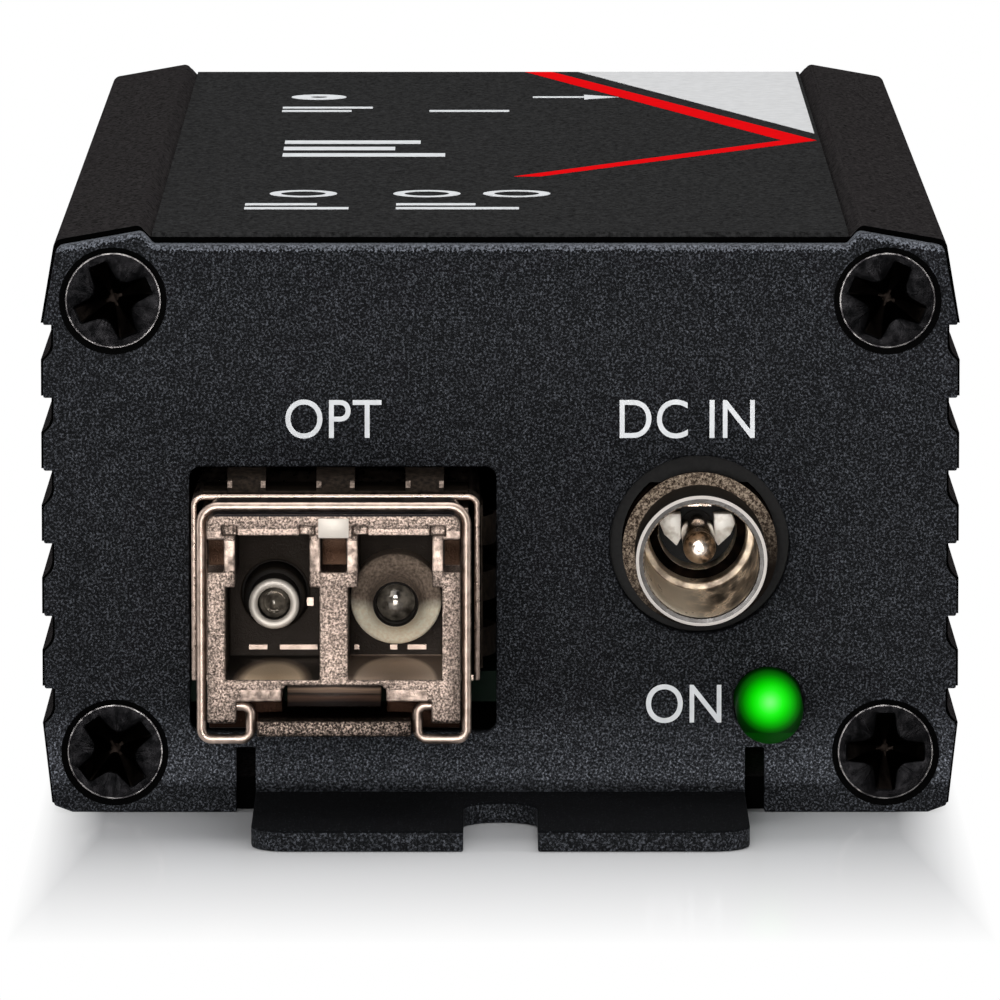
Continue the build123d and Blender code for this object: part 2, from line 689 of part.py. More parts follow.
# Transceiver housing: cast nose with two ports and a chin, and a tray behind it
fiber_xs = (cage_x - fiber_pitch / 2, cage_x + fiber_pitch / 2)
slider_bottom = cage_floor_top + slider_floor_gap
slider_top = slider_bottom + slider_sheet
groove_top = slider_top + slider_roof_gap
slider_front = nose_front + slider_front_setback
slider_back = lock_boss_y - lock_boss_size / 2 - slider_travel - slider_stop_gap
chin_front_clear = bail_y + (bail_pivot_z - bail_bottom_z) + wire_radius + 0.2
tray_floor = groove_top + cage_sheet
tray_x = module_width / 2 - module_side_wall
board_ledge = tray_x - module_board_width / 2 + cage_sheet
port_wall_back = port_back + port_back_wall
with BuildPart() as transceiver_housing:
    with BuildSketch(upright(nose_front)):
        with Locations((cage_x, (nose_bottom + nose_top) / 2)):
            Rectangle(nose_width, nose_top - nose_bottom)
    extrude(amount=-(nose_back - nose_front))
    fillet(transceiver_housing.edges().filter_by(Axis.Y).group_by(Axis.Z)[-1], nose_corner_radius)
    with BuildSketch(upright(nose_back)):
        with Locations((cage_x, module_bottom + module_height / 2)):
            Rectangle(module_width, module_height)
    extrude(amount=-(module_end_y - nose_back))
    with BuildSketch(upright(chin_front_clear)):
        with Locations((cage_x, (chin_bottom + nose_bottom) / 2)):
            Rectangle(nose_width, nose_bottom - chin_bottom)
    extrude(amount=-(nose_back - chin_front_clear))
    with BuildSketch(upright(nose_front)):
        with Locations((cage_x, chin_bottom + chin_bar_height / 2)):
            Rectangle(chin_bar_width, chin_bar_height)
    extrude(amount=-(nose_back - nose_front))
    with BuildSketch(upright(nose_front)):
        for side in (-1, 1):
            block_x = cage_x + side * (nose_width - chin_block_width) / 2
            with Locations((block_x, nose_bottom - chin_block_height / 2)):
                Rectangle(chin_block_width, chin_block_height)
    extrude(amount=-chin_block_depth)
    tab_x = nose_width / 2 - chin_block_width - chin_tab_width / 2
    with BuildSketch(upright(nose_front)):
        for side in (-1, 1):
            with Locations((cage_x + side * tab_x, nose_bottom - chin_tab_height / 2)):
                Rectangle(chin_tab_width, chin_tab_height)
    extrude(amount=-chin_tab_depth)
    with BuildSketch(upright(nose_front)):
        for fiber_x in fiber_xs:
            with Locations((fiber_x, (port_floor + port_shoulder_height) / 2)):
                Rectangle(2 * port_half_width, port_shoulder_height - port_floor)
            with Locations((fiber_x, (port_floor + port_top) / 2)):
                Rectangle(2 * port_upper_half_width, port_top - port_floor)
    extrude(amount=-port_depth, mode=Mode.SUBTRACT)
    outer_pocket = nose_width / 2 - fiber_pitch / 2 - port_upper_half_width - latch_post
    centre_pocket = fiber_pitch - 2 * (port_upper_half_width + latch_post)
    with BuildSketch(upright(nose_front)):
        for side in (-1, 1):
            pocket_x = cage_x + side * (nose_width - outer_pocket) / 2
            with Locations((pocket_x, (latch_pocket_low + latch_pocket_high) / 2)):
                Rectangle(outer_pocket, latch_pocket_high - latch_pocket_low)
        with Locations((cage_x, (latch_pocket_low + centre_pocket_top) / 2)):
            Rectangle(centre_pocket, centre_pocket_top - latch_pocket_low)
    extrude(amount=-latch_pocket_depth, mode=Mode.SUBTRACT)
    with BuildSketch(upright(nose_front)):
        for side in (-1, 1):
            notch_inner = centre_pocket / 2 + latch_post / 2 + top_notch_width / 2
            notch_outer = fiber_pitch / 2 + port_upper_half_width + latch_post / 2
            for notch_x in (notch_inner, notch_outer):
                with Locations((cage_x + side * notch_x, port_top + top_notch_height / 2)):
                    Rectangle(top_notch_width, top_notch_height)
    extrude(amount=-top_notch_depth, mode=Mode.SUBTRACT)
    with BuildSketch(upright(port_wall_back)):
        with Locations((cage_x, (tray_floor + module_top) / 2)):
            Rectangle(2 * tray_x, module_top - tray_floor)
    extrude(amount=-(module_end_y - port_wall_back), mode=Mode.SUBTRACT)
    with BuildSketch(upright(module_board_front)):
        for side in (-1, 1):
            ledge_x = cage_x + side * (tray_x - board_ledge / 2)
            with Locations((ledge_x, (tray_floor + module_board_bottom) / 2)):
                Rectangle(board_ledge, module_board_bottom - tray_floor)
    extrude(amount=-(module_end_y - module_board_front))
    with BuildSketch(upright(port_back)):
        for fiber_x in fiber_xs:
            with Locations((fiber_x, fiber_height)):
                Circle(barrel_neck_radius + barrel_clearance)
    extrude(amount=-port_back_wall, mode=Mode.SUBTRACT)
    with BuildSketch(upright(nose_front)):
        with Locations((cage_x, (module_bottom + groove_top) / 2 - port_floor_wall)):
            Rectangle(
                slider_width + 2 * slider_side_gap, groove_top - module_bottom + 2 * port_floor_wall
            )
    extrude(amount=-(slider_back + slider_travel + slider_stop_gap / 2 - nose_front), mode=Mode.SUBTRACT)
    with BuildSketch(upright(chin_front_clear)):
        channel_low = chin_bottom + chin_bar_height
        with Locations((cage_x, (channel_low + nose_bottom) / 2)):
            Rectangle(chin_channel_width, nose_bottom - channel_low)
    extrude(amount=-(nose_back - chin_front_clear), mode=Mode.SUBTRACT)
    with BuildSketch(side_plane(cage_x)):
        with Locations((bail_y, bail_pivot_z)):
            Circle(wire_radius + pivot_clearance)
    extrude(amount=bail_pin_end + pivot_clearance, both=True, mode=Mode.SUBTRACT)
    with BuildSketch(Plane.XY.offset(module_bottom)):
        boss_triangle()
    extrude(amount=-lock_boss_drop)
transceiver_housing.part.label = "transceiver_housing"
export_step(transceiver_housing.part, "parts/transceiver_housing.step")

# Transceiver cover: folded sheet over the tray
with BuildPart() as transceiver_cover:
    with BuildSketch(upright(nose_back)):
        with Locations((cage_x, (module_bottom + module_top + cover_sheet) / 2)):
            Rectangle(module_width + 2 * cover_sheet, module_height + cover_sheet)
        with Locations((cage_x, (module_bottom + module_top) / 2)):
            Rectangle(module_width, module_height, mode=Mode.SUBTRACT)
    extrude(amount=-(module_end_y - nose_back))
transceiver_cover.part.label = "transceiver_cover"
export_step(transceiver_cover.part, "parts/transceiver_cover.step")

# Transceiver board: its rear edge is the card that enters the host connector
card_end = host_front + card_overlap
with BuildPart() as transceiver_board:
    with BuildSketch(Plane.XY.offset(module_board_bottom)):
        with Locations((cage_x, (module_board_front + card_end) / 2)):
            Rectangle(module_board_width, card_end - module_board_front)
    extrude(amount=module_board_thickness)
transceiver_board.part.label = "transceiver_board"
export_step(transceiver_board.part, "parts/transceiver_board.step")

# Optical barrels, turned about the fibre axis: Y runs from the tip to the can behind the port wall
barrel_tip = nose_front + barrel_tip_setback
can_radius = fiber_pitch / 2 - 0.5
can_back = port_wall_back + 2 * can_radius / 1.6


def turned_on_fiber(fiber_x, points):
    """Revolve a half-profile of (distance along Y, radius) points about a fibre axis."""
    with BuildPart() as turned:
        with BuildSketch(side_plane(fiber_x)):
            with BuildLine():
                Polyline(*[(y, fiber_height + radius) for y, radius in points], close=True)
            make_face()
        revolve(axis=Axis((fiber_x, 0, fiber_height), (0, 1, 0)))
    return turned


transmit_barrel = turned_on_fiber(
    fiber_xs[0],
    (
        (barrel_tip, 0.46 * barrel_neck_radius),
        (barrel_tip + 0.15, 0.39 * barrel_neck_radius),
        (barrel_tip + barrel_bore_depth, 0.39 * barrel_neck_radius),
        (barrel_tip + barrel_bore_depth, 0),
        (can_back, 0),
        (can_back, can_radius),
        (port_wall_back, can_radius),
        (port_wall_back, barrel_neck_radius),
        (port_back - 0.9, barrel_neck_radius),
        (port_back - 0.9, 0.76 * barrel_neck_radius),
        (barrel_tip + 0.12, 0.76 * barrel_neck_radius),
        (barrel_tip, 0.69 * barrel_neck_radius),
    ),
)
transmit_barrel.part.label = "transmit_barrel"
export_step(transmit_barrel.part, "parts/transmit_barrel.step")

receive_barrel = turned_on_fiber(
    fiber_xs[1],
    (
        (barrel_tip, 0.59 * barrel_neck_radius),
        (barrel_tip + 2.6, 0.47 * barrel_neck_radius),
        (barrel_tip + 2.6, 0),
        (can_back, 0),
        (can_back, can_radius),
        (port_wall_back, can_radius),
        (port_wall_back, barrel_neck_radius),
        (port_back, barrel_neck_radius),
        (port_back, port_half_width - barrel_clearance),
        (barrel_tip + 2.0, port_half_width - barrel_clearance),
        (barrel_tip + 1.9, 1.15 * barrel_neck_radius),
        (barrel_tip + 1.2, 0.82 * barrel_neck_radius),
        (barrel_tip, 0.68 * barrel_neck_radius),
    ),
)
receive_barrel.part.label = "receive_barrel"
export_step(receive_barrel.part, "parts/receive_barrel.step")

# Bail latch: bent wire round the nose, its two ends turned out into the chin's corner blocks
bail_points = (
    (-bail_pin_end, bail_pivot_z),
    (-bail_upright_x, bail_pivot_z),
    (-bail_upright_x, bail_bottom_z),
    (-bail_arm_x, bail_bottom_z),
    (-bail_arm_x, bail_top_z),
    (bail_arm_x, bail_top_z),
    (bail_arm_x, bail_bottom_z),
    (bail_upright_x, bail_bottom_z),
    (bail_upright_x, bail_pivot_z),
    (bail_pin_end, bail_pivot_z),
)
bail_bends = (
    bail_bend,
    bail_bend,
    bail_bottom_bend,
    bail_top_bend,
    bail_top_bend,
    bail_bottom_bend,
    bail_bend,
    bail_bend,
)
with BuildPart() as bail_latch:
    with BuildLine() as bail_path:
        FilletPolyline(*[(cage_x + x, bail_y, z) for x, z in bail_points], radius=bail_bends)
    with BuildSketch(Plane(bail_path.line @ 0, z_dir=bail_path.line % 0)):
        RegularPolygon(wire_radius, wire_sides)
    sweep()
bail_latch.part.label = "bail_latch"
export_step(bail_latch.part, "parts/bail_latch.step")

# Release slider: flat strip in the housing's groove with a tab turned down in the chin
with BuildPart() as release_slider:
    with BuildSketch(Plane.XY.offset(slider_bottom)):
        with Locations((cage_x, (slider_front + slider_back) / 2)):
            Rectangle(slider_width, slider_back - slider_front)
    extrude(amount=slider_sheet)
    with BuildSketch(upright(slider_front)):
        with Locations((cage_x, slider_top - slider_sheet / 2 - slider_tab_height / 2)):
            Rectangle(slider_width, slider_tab_height)
    extrude(amount=-slider_sheet)
release_slider.part.label = "release_slider"
export_step(release_slider.part, "parts/release_slider.step")

# Host connector on the board, with the slot that takes the transceiver's card
card_middle = module_board_bottom + module_board_thickness / 2
with BuildPart() as host_connector:
    with BuildSketch(upright(host_front)):
        with Locations((cage_x, board_top + host_height / 2)):
            Rectangle(host_width, host_height)
    extrude(amount=-host_length)
    with BuildSketch(upright(host_front)):
        with Locations((cage_x, card_middle)):
            Rectangle(
                module_board_width + 2 * host_slot_gap, module_board_thickness + 2 * host_slot_gap
            )
    extrude(amount=-(card_overlap + host_slot_gap), mode=Mode.SUBTRACT)
host_connector.part.label = "host_connector"
export_step(host_connector.part, "parts/host_connector.step")

# Solder feet of the host connector, one row behind it on the board
with BuildPart() as host_contacts_row:
    with BuildSketch(Plane.XY.offset(board_top)):
        with Locations((cage_x, host_front + host_length + cage_sheet)):
            with GridLocations(host_contact_pitch, 1, host_contacts, 1):
                Rectangle(host_contact_pitch / 3, 2 * cage_sheet)
    extrude(amount=cage_sheet / 2)
host_contacts_row.part.label = "host_contacts"
export_step(host_contacts_row.part, "parts/host_contacts.step")

# Power jack sleeve: threaded collar with a flat on top, and a thin tube with a stepped bore
jack_axis = Axis((jack_x, 0, jack_height), (0, 1, 0))
thread_front = front_face - jack_thread_proud
thread_back = jack_body_front
jack_floor = jack_mouth + jack_seat_depth
with BuildPart() as jack_sleeve:
    with BuildSketch(side_plane(jack_x)):
        with BuildLine():
            Polyline(
                *[
                    (y, jack_height + radius)
                    for y, radius in (
                        (jack_mouth, jack_bore_radius),
                        (jack_mouth + jack_bore_depth, jack_bore_radius),
                        (jack_mouth + jack_bore_depth, jack_mid_radius),
                        (jack_mouth + jack_mid_depth, jack_mid_radius),
                        (jack_mouth + jack_mid_depth, jack_seat_radius),
                        (jack_floor, jack_seat_radius),
                        (jack_floor, jack_tube_radius),
                        (thread_back, jack_tube_radius),
                        (thread_back, jack_thread_radius),
                        (thread_front, jack_thread_radius),
                        (thread_front, jack_tube_radius),
                        (jack_mouth, jack_tube_radius),
                    )
                ],
                close=True,
            )
        make_face()
    revolve(axis=jack_axis)
    with BuildSketch(upright(thread_front + jack_flat_land)):
        with Locations((jack_x, jack_height + jack_flat_height + jack_thread_radius / 2)):
            Rectangle(2 * jack_thread_radius, jack_thread_radius)
        with Locations((jack_x, jack_height)):
            Circle(jack_tube_radius, mode=Mode.SUBTRACT)
    extrude(amount=-(thread_back - thread_front - jack_flat_land), mode=Mode.SUBTRACT)
jack_sleeve.part.label = "jack_sleeve"
export_step(jack_sleeve.part, "parts/jack_sleeve.step")

# Power jack body: moulded block on the board that carries the sleeve, the pin and the spring contact
pin_tip = jack_mouth + jack_pin_tip_setback
jack_root_length = jack_body_length / 3
leaf_height = jack_height + jack_seat_radius - 2 * jack_leaf_sheet
with BuildPart() as jack_body:
    with BuildSketch(upright(jack_body_front)):
        with Locations((jack_x, (board_top + jack_body_top) / 2)):
            Rectangle(jack_body_width, jack_body_top - board_top)
    extrude(amount=-jack_body_length)
    chamfer(jack_body.edges().filter_by(Axis.Y).group_by(Axis.Z)[-1], 1.2)
    with BuildSketch(upright(jack_body_front)):
        with Locations((jack_x, jack_height)):
            Circle(jack_tube_radius + jack_fit)
    extrude(amount=-(jack_floor - jack_body_front), mode=Mode.SUBTRACT)
    with BuildSketch(upright(jack_floor)):
        with Locations((jack_x, jack_height)):
            Circle(jack_pin_radius + jack_fit)
        with Locations((jack_x, leaf_height)):
            Rectangle(jack_slot_width + 2 * jack_fit, jack_leaf_sheet + 2 * jack_fit)
    extrude(amount=-jack_root_length, mode=Mode.SUBTRACT)
    with BuildSketch(upright(jack_body_front)):
        with Locations((lamp_x, lamp_height)):
            Rectangle(lamp_notch_width, 2 * (lamp_radius + lamp_holder_wall + lamp_clearance))
    extrude(amount=-(lamp_back + lamp_rim + lamp_clearance - jack_body_front), mode=Mode.SUBTRACT)
jack_body.part.label = "jack_body"
export_step(jack_body.part, "parts/jack_body.step")

# Centre pin of the power jack, with a rounded tip
with BuildPart() as jack_pin:
    with BuildSketch(upright(pin_tip)):
        with Locations((jack_x, jack_height)):
            Circle(jack_pin_radius)
    extrude(amount=-(jack_floor + jack_root_length - pin_tip))
    fillet(jack_pin.edges().group_by(Axis.Y)[0], jack_pin_radius / 2)
jack_pin.part.label = "jack_pin"
export_step(jack_pin.part, "parts/jack_pin.step")

# Spring contact of the power jack, a leaf along the top of the seat
with BuildPart() as jack_contact:
    with BuildSketch(upright(jack_floor - jack_leaf_reach)):
        with Locations((jack_x, leaf_height)):
            Rectangle(jack_slot_width, jack_leaf_sheet)
    extrude(amount=-(jack_leaf_reach + jack_root_length))
jack_contact.part.label = "jack_contact"
export_step(jack_contact.part, "parts/jack_contact.step")

# Indicator lamp: round body with a domed front and a rim behind the panel
lamp_front = front_face - lamp_proud
lamp_axis = Axis((lamp_x, 0, lamp_height), (0, 1, 0))
with BuildPart() as power_lamp:
    with BuildSketch(side_plane(lamp_x)):
        with BuildLine():
            CenterArc((lamp_front, lamp_height), lamp_radius, 90, 90)
            Polyline(
                (lamp_front, lamp_height + lamp_radius),
                (lamp_back, lamp_height + lamp_radius),
                (lamp_back, lamp_height + lamp_rim_radius),
                (lamp_back + lamp_rim, lamp_height + lamp_rim_radius),
                (lamp_back + lamp_rim, lamp_height),
                (lamp_front - lamp_radius, lamp_height),
            )
        make_face()
    revolve(axis=lamp_axis)
power_lamp.part.label = "power_lamp"
export_step(power_lamp.part, "parts/power_lamp.step")

# Lamp holder: black block that carries the lamp in front of the board
holder_front = front_end + board_end_gap
with BuildPart() as lamp_holder:
    with BuildSketch(upright(holder_front)):
        with Locations((lamp_x, lamp_height)):
            Rectangle(lamp_notch_width, 2 * (lamp_radius + lamp_holder_wall))
            Circle(lamp_radius + lamp_fit, mode=Mode.SUBTRACT)
    extrude(amount=-lamp_holder_length)
lamp_holder.part.label = "lamp_holder"
export_step(lamp_holder.part, "parts/lamp_holder.step")

# Lamp leads: two bent wires from the lamp to the board's underside
lead_start = lamp_back + lamp_rim
lead_low = board_bottom - lead_radius
with BuildPart() as lamp_leads:
    for side in (-1, 1):
        lead_x = lamp_x + side * lead_spread / 2
        with BuildLine() as lead_path:
            Polyline(
                (lead_x, lead_start, lead_low),
                (lead_x, lead_start + lead_length, lead_low),
            )
        with BuildSketch(Plane(lead_path.line @ 0, z_dir=lead_path.line % 0)):
            Circle(lead_radius)
        sweep(path=lead_path.line)
lamp_leads.part.label = "lamp_leads"
export_step(lamp_leads.part, "parts/lamp_leads.step")


def on_rear(x, out):
    """Plane parallel to the rear panel, this far outside the extrusion's end, centred on a coaxial jack."""
    return Plane(origin=(x, back_end + out, coax_height), x_dir=(-1, 0, 0), z_dir=(0, 1, 0))


def coax_jack(name, x):
    """One bulkhead coaxial jack in six pieces."""
    barrel_end = coax_thread_length + coax_barrel_length
    with BuildPart() as shell:
        with BuildSketch(on_rear(x, 0)):
            Circle(coax_thread_radius)
        extrude(amount=coax_thread_length)
        chamfer(shell.edges().group_by(Axis.Y)[-1], 0.4)
        with BuildSketch(on_rear(x, coax_thread_length)):
            Circle(coax_barrel_radius)
        extrude(amount=coax_barrel_length)
        chamfer(shell.edges().group_by(Axis.Y)[-1], 0.3)
        with BuildSketch(on_rear(x, barrel_end)):
            Circle(coax_bore_radius)
        extrude(amount=-coax_bore_depth, mode=Mode.SUBTRACT)
        with BuildSketch(on_rear(x, 0)):
            Circle(coax_insulator_radius + coax_fit)
        extrude(amount=barrel_end - coax_bore_depth, mode=Mode.SUBTRACT)
        lug_y = back_end + barrel_end - coax_lug_setback
        lug_plane = Plane(origin=(x, lug_y, coax_height), x_dir=(1, 0, 0), z_dir=(0, 0, 1))
        for side in (-1, 1):
            with BuildSketch(lug_plane.offset(side * (coax_bore_radius + coax_barrel_radius) / 2)):
                Circle(coax_lug_radius)
            extrude(amount=side * (coax_lug_reach - (coax_bore_radius + coax_barrel_radius) / 2))
    shell.part.label = name + "_shell"
    export_step(shell.part, f"parts/{name}_shell.step")

    with BuildPart() as insulator:
        with BuildSketch(on_rear(x, 0)):
            Circle(coax_insulator_radius)
            Circle(coax_contact_radius + coax_fit, mode=Mode.SUBTRACT)
        extrude(amount=barrel_end - coax_insulator_setback)
    insulator.part.label = name + "_insulator"
    export_step(insulator.part, f"parts/{name}_insulator.step")

    with BuildPart() as contact:
        with BuildSketch(on_rear(x, 0)):
            Circle(coax_contact_radius)
        extrude(amount=barrel_end - coax_contact_setback)
        with BuildSketch(on_rear(x, barrel_end - coax_contact_setback)):
            Circle(coax_contact_bore)
            Rectangle(coax_contact_slit, 2 * coax_contact_radius)
        extrude(amount=-coax_bore_depth / 2, mode=Mode.SUBTRACT)
    contact.part.label = name + "_contact"
    export_step(contact.part, f"parts/{name}_contact.step")

    with BuildPart() as washer:
        with BuildSketch(on_rear(x, sheet)):
            Circle(coax_washer_radius)
            Circle(coax_thread_radius + coax_fit, mode=Mode.SUBTRACT)
        extrude(amount=coax_washer)
    washer.part.label = name + "_washer"
    export_step(washer.part, f"parts/{name}_washer.step")

    with BuildPart() as nut:
        with BuildSketch(on_rear(x, sheet + coax_washer)):
            RegularPolygon(coax_nut_flats / 2, 6, major_radius=False)
            Circle(coax_thread_radius + coax_fit, mode=Mode.SUBTRACT)
        extrude(amount=coax_nut)
    nut.part.label = name + "_nut"
    export_step(nut.part, f"parts/{name}_nut.step")

    with BuildPart() as block:
        block_top = coax_height + coax_block_rise
        block_middle = (board_top + block_top) / 2 - coax_height
        with BuildSketch(on_rear(x, 0)):
            with Locations((0, block_middle)):
                Rectangle(coax_block_width, block_top - board_top)
        extrude(amount=-coax_block_length)
        chamfer(block.edges().filter_by(Axis.Y).group_by(Axis.Z)[-1], 1.5)
    block.part.label = name + "_block"
    export_step(block.part, f"parts/{name}_block.step")


coax_jack("input_jack", -coax_x)
coax_jack("loop_jack", coax_x)


def board_part(name, place, size):
    """Flat-bodied part standing on the board, with softened top edges."""
    with BuildPart() as body:
        with BuildSketch(Plane.XY.offset(board_top)):
            with Locations(place):
                Rectangle(size[0], size[1])
        extrude(amount=size[2])
        chamfer(body.edges().group_by(Axis.Z)[-1], size[2] / 6)
    body.part.label = name
    export_step(body.part, f"parts/{name}.step")


board_part("serializer_chip", (beside_cage + serializer_share * board_room, serializer_y), serializer_size)
board_part("equalizer_chip", (cage_x - equalizer_offset, equalizer_y), equalizer_size)
board_part("regulator_chip", (beside_cage + regulator_share * board_room, regulator_y), regulator_size)
board_part("crystal", (cage_x + crystal_offset, crystal_y), crystal_size)
board_part("power_inductor", (beside_cage + inductor_share * board_room, inductor_y), inductor_size)

# Bulk capacitors, standing upright on the board
with BuildPart() as bulk_capacitors:
    with BuildSketch(Plane.XY.offset(board_top)):
        with Locations(*[(beside_cage + capacitor_share * board_room, y) for y in capacitor_ys]):
            Circle(capacitor_radius)
    extrude(amount=capacitor_height)
    chamfer(bulk_capacitors.edges().group_by(Axis.Z)[-1], 0.4)
bulk_capacitors.part.label = "bulk_capacitors"
export_step(bulk_capacitors.part, "parts/bulk_capacitors.step")

# Small chip parts in a row beside the serializer
with BuildPart() as chip_parts:
    with BuildSketch(Plane.XY.offset(board_top)):
        with Locations((beside_cage + serializer_share * board_room, serializer_y + serializer_size[1])):
            with GridLocations(chip_part_room * board_room, 1, chip_part_count, 1):
                Rectangle(chip_part_size[0], chip_part_size[1])
    extrude(amount=chip_part_size[2])
chip_parts.part.label = "chip_parts"
export_step(chip_parts.part, "parts/chip_parts.step")
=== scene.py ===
"""Dresses a small ribbed video-to-fibre converter box: finishes, print, legends and fine shapes."""

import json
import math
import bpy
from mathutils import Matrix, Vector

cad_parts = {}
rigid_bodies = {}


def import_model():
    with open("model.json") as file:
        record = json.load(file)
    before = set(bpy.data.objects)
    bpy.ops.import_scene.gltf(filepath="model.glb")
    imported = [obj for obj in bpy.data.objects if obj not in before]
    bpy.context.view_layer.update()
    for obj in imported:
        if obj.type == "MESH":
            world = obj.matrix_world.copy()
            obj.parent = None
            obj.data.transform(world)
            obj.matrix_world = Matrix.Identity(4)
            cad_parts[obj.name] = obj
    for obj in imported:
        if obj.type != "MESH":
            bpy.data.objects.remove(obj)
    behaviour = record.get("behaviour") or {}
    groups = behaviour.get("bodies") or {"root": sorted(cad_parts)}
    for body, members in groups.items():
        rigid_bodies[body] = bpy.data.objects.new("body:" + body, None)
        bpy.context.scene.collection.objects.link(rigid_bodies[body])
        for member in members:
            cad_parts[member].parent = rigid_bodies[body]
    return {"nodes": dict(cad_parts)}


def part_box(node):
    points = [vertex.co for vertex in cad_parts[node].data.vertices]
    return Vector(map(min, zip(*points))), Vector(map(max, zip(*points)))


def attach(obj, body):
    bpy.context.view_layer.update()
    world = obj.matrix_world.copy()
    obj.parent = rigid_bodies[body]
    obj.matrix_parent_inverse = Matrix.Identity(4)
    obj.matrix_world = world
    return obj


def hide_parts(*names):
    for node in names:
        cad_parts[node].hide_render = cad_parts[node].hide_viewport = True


bl_info = {
    "name": "Converter box dressing",
    "version": (1, 0, 0),
    "blender": (4, 5, 0),
    "location": "View3D > Sidebar > Converter",
    "description": "Finishes and fine shapes for a small ribbed video-to-fibre converter box",
    "category": "Object",
}

import bpy
from bpy.props import FloatProperty, FloatVectorProperty, IntProperty, PointerProperty
from mathutils import Vector

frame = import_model()

MM = 0.001
SHEET = 1.10 * MM
PANEL_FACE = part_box("body_extrusion")[0].y - SHEET
REAR_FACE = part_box("body_extrusion")[1].y + SHEET
NOSE_LOW, NOSE_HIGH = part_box("transceiver_housing")
NOSE_FACE = NOSE_LOW.y
CAGE_LOW, CAGE_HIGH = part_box("cage_shell")
CAGE_X = (CAGE_LOW.x + CAGE_HIGH.x) / 2
LAMP_LOW, LAMP_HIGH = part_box("power_lamp")
TUBE_LOW, TUBE_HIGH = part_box("jack_sleeve")
LABEL_LOW, LABEL_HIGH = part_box("top_label")
CAGE_TOP = CAGE_HIGH.z
FIBER_PITCH = sum(c.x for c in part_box("receive_barrel")) / 2 - sum(c.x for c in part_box("transmit_barrel")) / 2
SCREW_LOW_CORNER, SCREW_HIGH_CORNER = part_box("front_screws")
SCREW_HEAD = 2.525 * MM
SCREW_X = SCREW_HIGH_CORNER.x - SCREW_HEAD
SCREW_LOW, SCREW_HIGH = SCREW_LOW_CORNER.z + SCREW_HEAD, SCREW_HIGH_CORNER.z - SCREW_HEAD
SCREW_TOP = -SCREW_LOW_CORNER.y
RIB_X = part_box("body_extrusion")[1].x
PANEL_RIB_X = RIB_X - 0.15 * MM
CORNER_HEIGHT = 29.75 * MM
FIRST_GROOVE, GROOVE_PITCH = CORNER_HEIGHT - 4.30 * MM, 3.795 * MM
GROOVE_HEIGHT, GROOVE_STRAIGHT, GROOVE_DEPTH = 1.92 * MM, 0.95 * MM, 0.54 * MM
JACK_X = (TUBE_LOW.x + TUBE_HIGH.x) / 2
JACK_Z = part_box("jack_pin")[0].z / 2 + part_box("jack_pin")[1].z / 2


def tone(label, description, default):
    """A colour setting."""
    return FloatVectorProperty(name=label, description=description, subtype="COLOR", size=3, default=default)


def length(label, description, millimetres):
    """A length setting."""
    return FloatProperty(name=label, description=description, unit="LENGTH", default=millimetres * MM)


def number(label, description, default, unit="NONE"):
    """A setting that is a plain number or a power."""
    return FloatProperty(name=label, description=description, unit=unit, default=default)


class ConverterColours(bpy.types.PropertyGroup):
    """Colours of the finishes, in linear light."""

    coat: tone("Coat", "Ground of the speckled coat", (0.0030, 0.0032, 0.0038))
    speckle: tone("Speckle", "Light grains in the coat", (0.092, 0.098, 0.112))
    anodised: tone("Anodised", "Extruded body", (0.0185, 0.0168, 0.0168))
    film: tone("Label film", "Ground of the label", (0.0215, 0.0215, 0.0215))
    stripe: tone("Stripe", "Coloured stripe on the label", (0.72, 0.004, 0.006))
    wedge: tone("Wedge", "Pale field on the label", (0.62, 0.62, 0.62))
    legend: tone("Legend", "Printed words and signs", (0.68, 0.69, 0.70))
    warm_metal: tone("Warm metal", "Plated castings and sheet", (0.375, 0.288, 0.238))
    lamp: tone("Lamp", "Light of the indicator lamp", (0.0, 0.80, 0.01))


class ConverterSizes(bpy.types.PropertyGroup):
    """Small sizes of the added shapes."""

    edge: length("Edge break", "Rounding of sheet and casting edges", 0.10)
    print_height: length("Print height", "Thickness of printed ink", 0.02)
    letter: length("Letter height", "Height of the legends' capitals", 2.0)
    wire: length("Wire radius", "Radius of the bail's wire", 0.25)
    thread_pitch: length("Thread pitch", "Pitch of the coaxial jacks' thread", 0.80)
    turn_steps: IntProperty(name="Steps round", description="Faces round a turned piece", default=96, min=24, max=192)


class ConverterStage(bpy.types.PropertyGroup):
    """Camera and light."""

    camera_place: FloatVectorProperty(
        name="Camera", description="Place of the camera", subtype="XYZ", size=3, default=(-0.0007, -0.6069, 0.0900)
    )
    camera_down: number("Down", "Tilt of the camera below level", 7.493)
    camera_right: number("Right", "Turn of the camera to the right", 0.07)
    lens: number("Lens", "Focal length on a 36 mm sensor", 393.0)
    key: number("Key light", "Power of the front lamp", 1.35, "POWER")
    fill: number("Fill light", "Power of the small lamp by the camera", 1.25, "POWER")
    top: number("Top light", "Power of the lamp above", 2.2, "POWER")
    side: number("Side light", "Power of each side lamp", 0.9, "POWER")
    sky: number("Sky", "Strength of the even light", 0.40)


# Selecting, shaping and handing over


def deselect():
    """Leave edit mode and select nothing."""
    if bpy.context.object and bpy.context.object.mode != "OBJECT":
        bpy.ops.object.mode_set(mode="OBJECT")
    bpy.ops.object.select_all(action="DESELECT")


def pick(*objects):
    """Select just these objects and make the last one active."""
    deselect()
    for each in objects:
        each.select_set(True)
    bpy.context.view_layer.objects.active = objects[-1]


def apply_modifiers(piece):
    """Apply all modifiers in order."""
    pick(piece)
    for modifier in list(piece.modifiers):
        bpy.ops.object.modifier_apply(modifier=modifier.name)


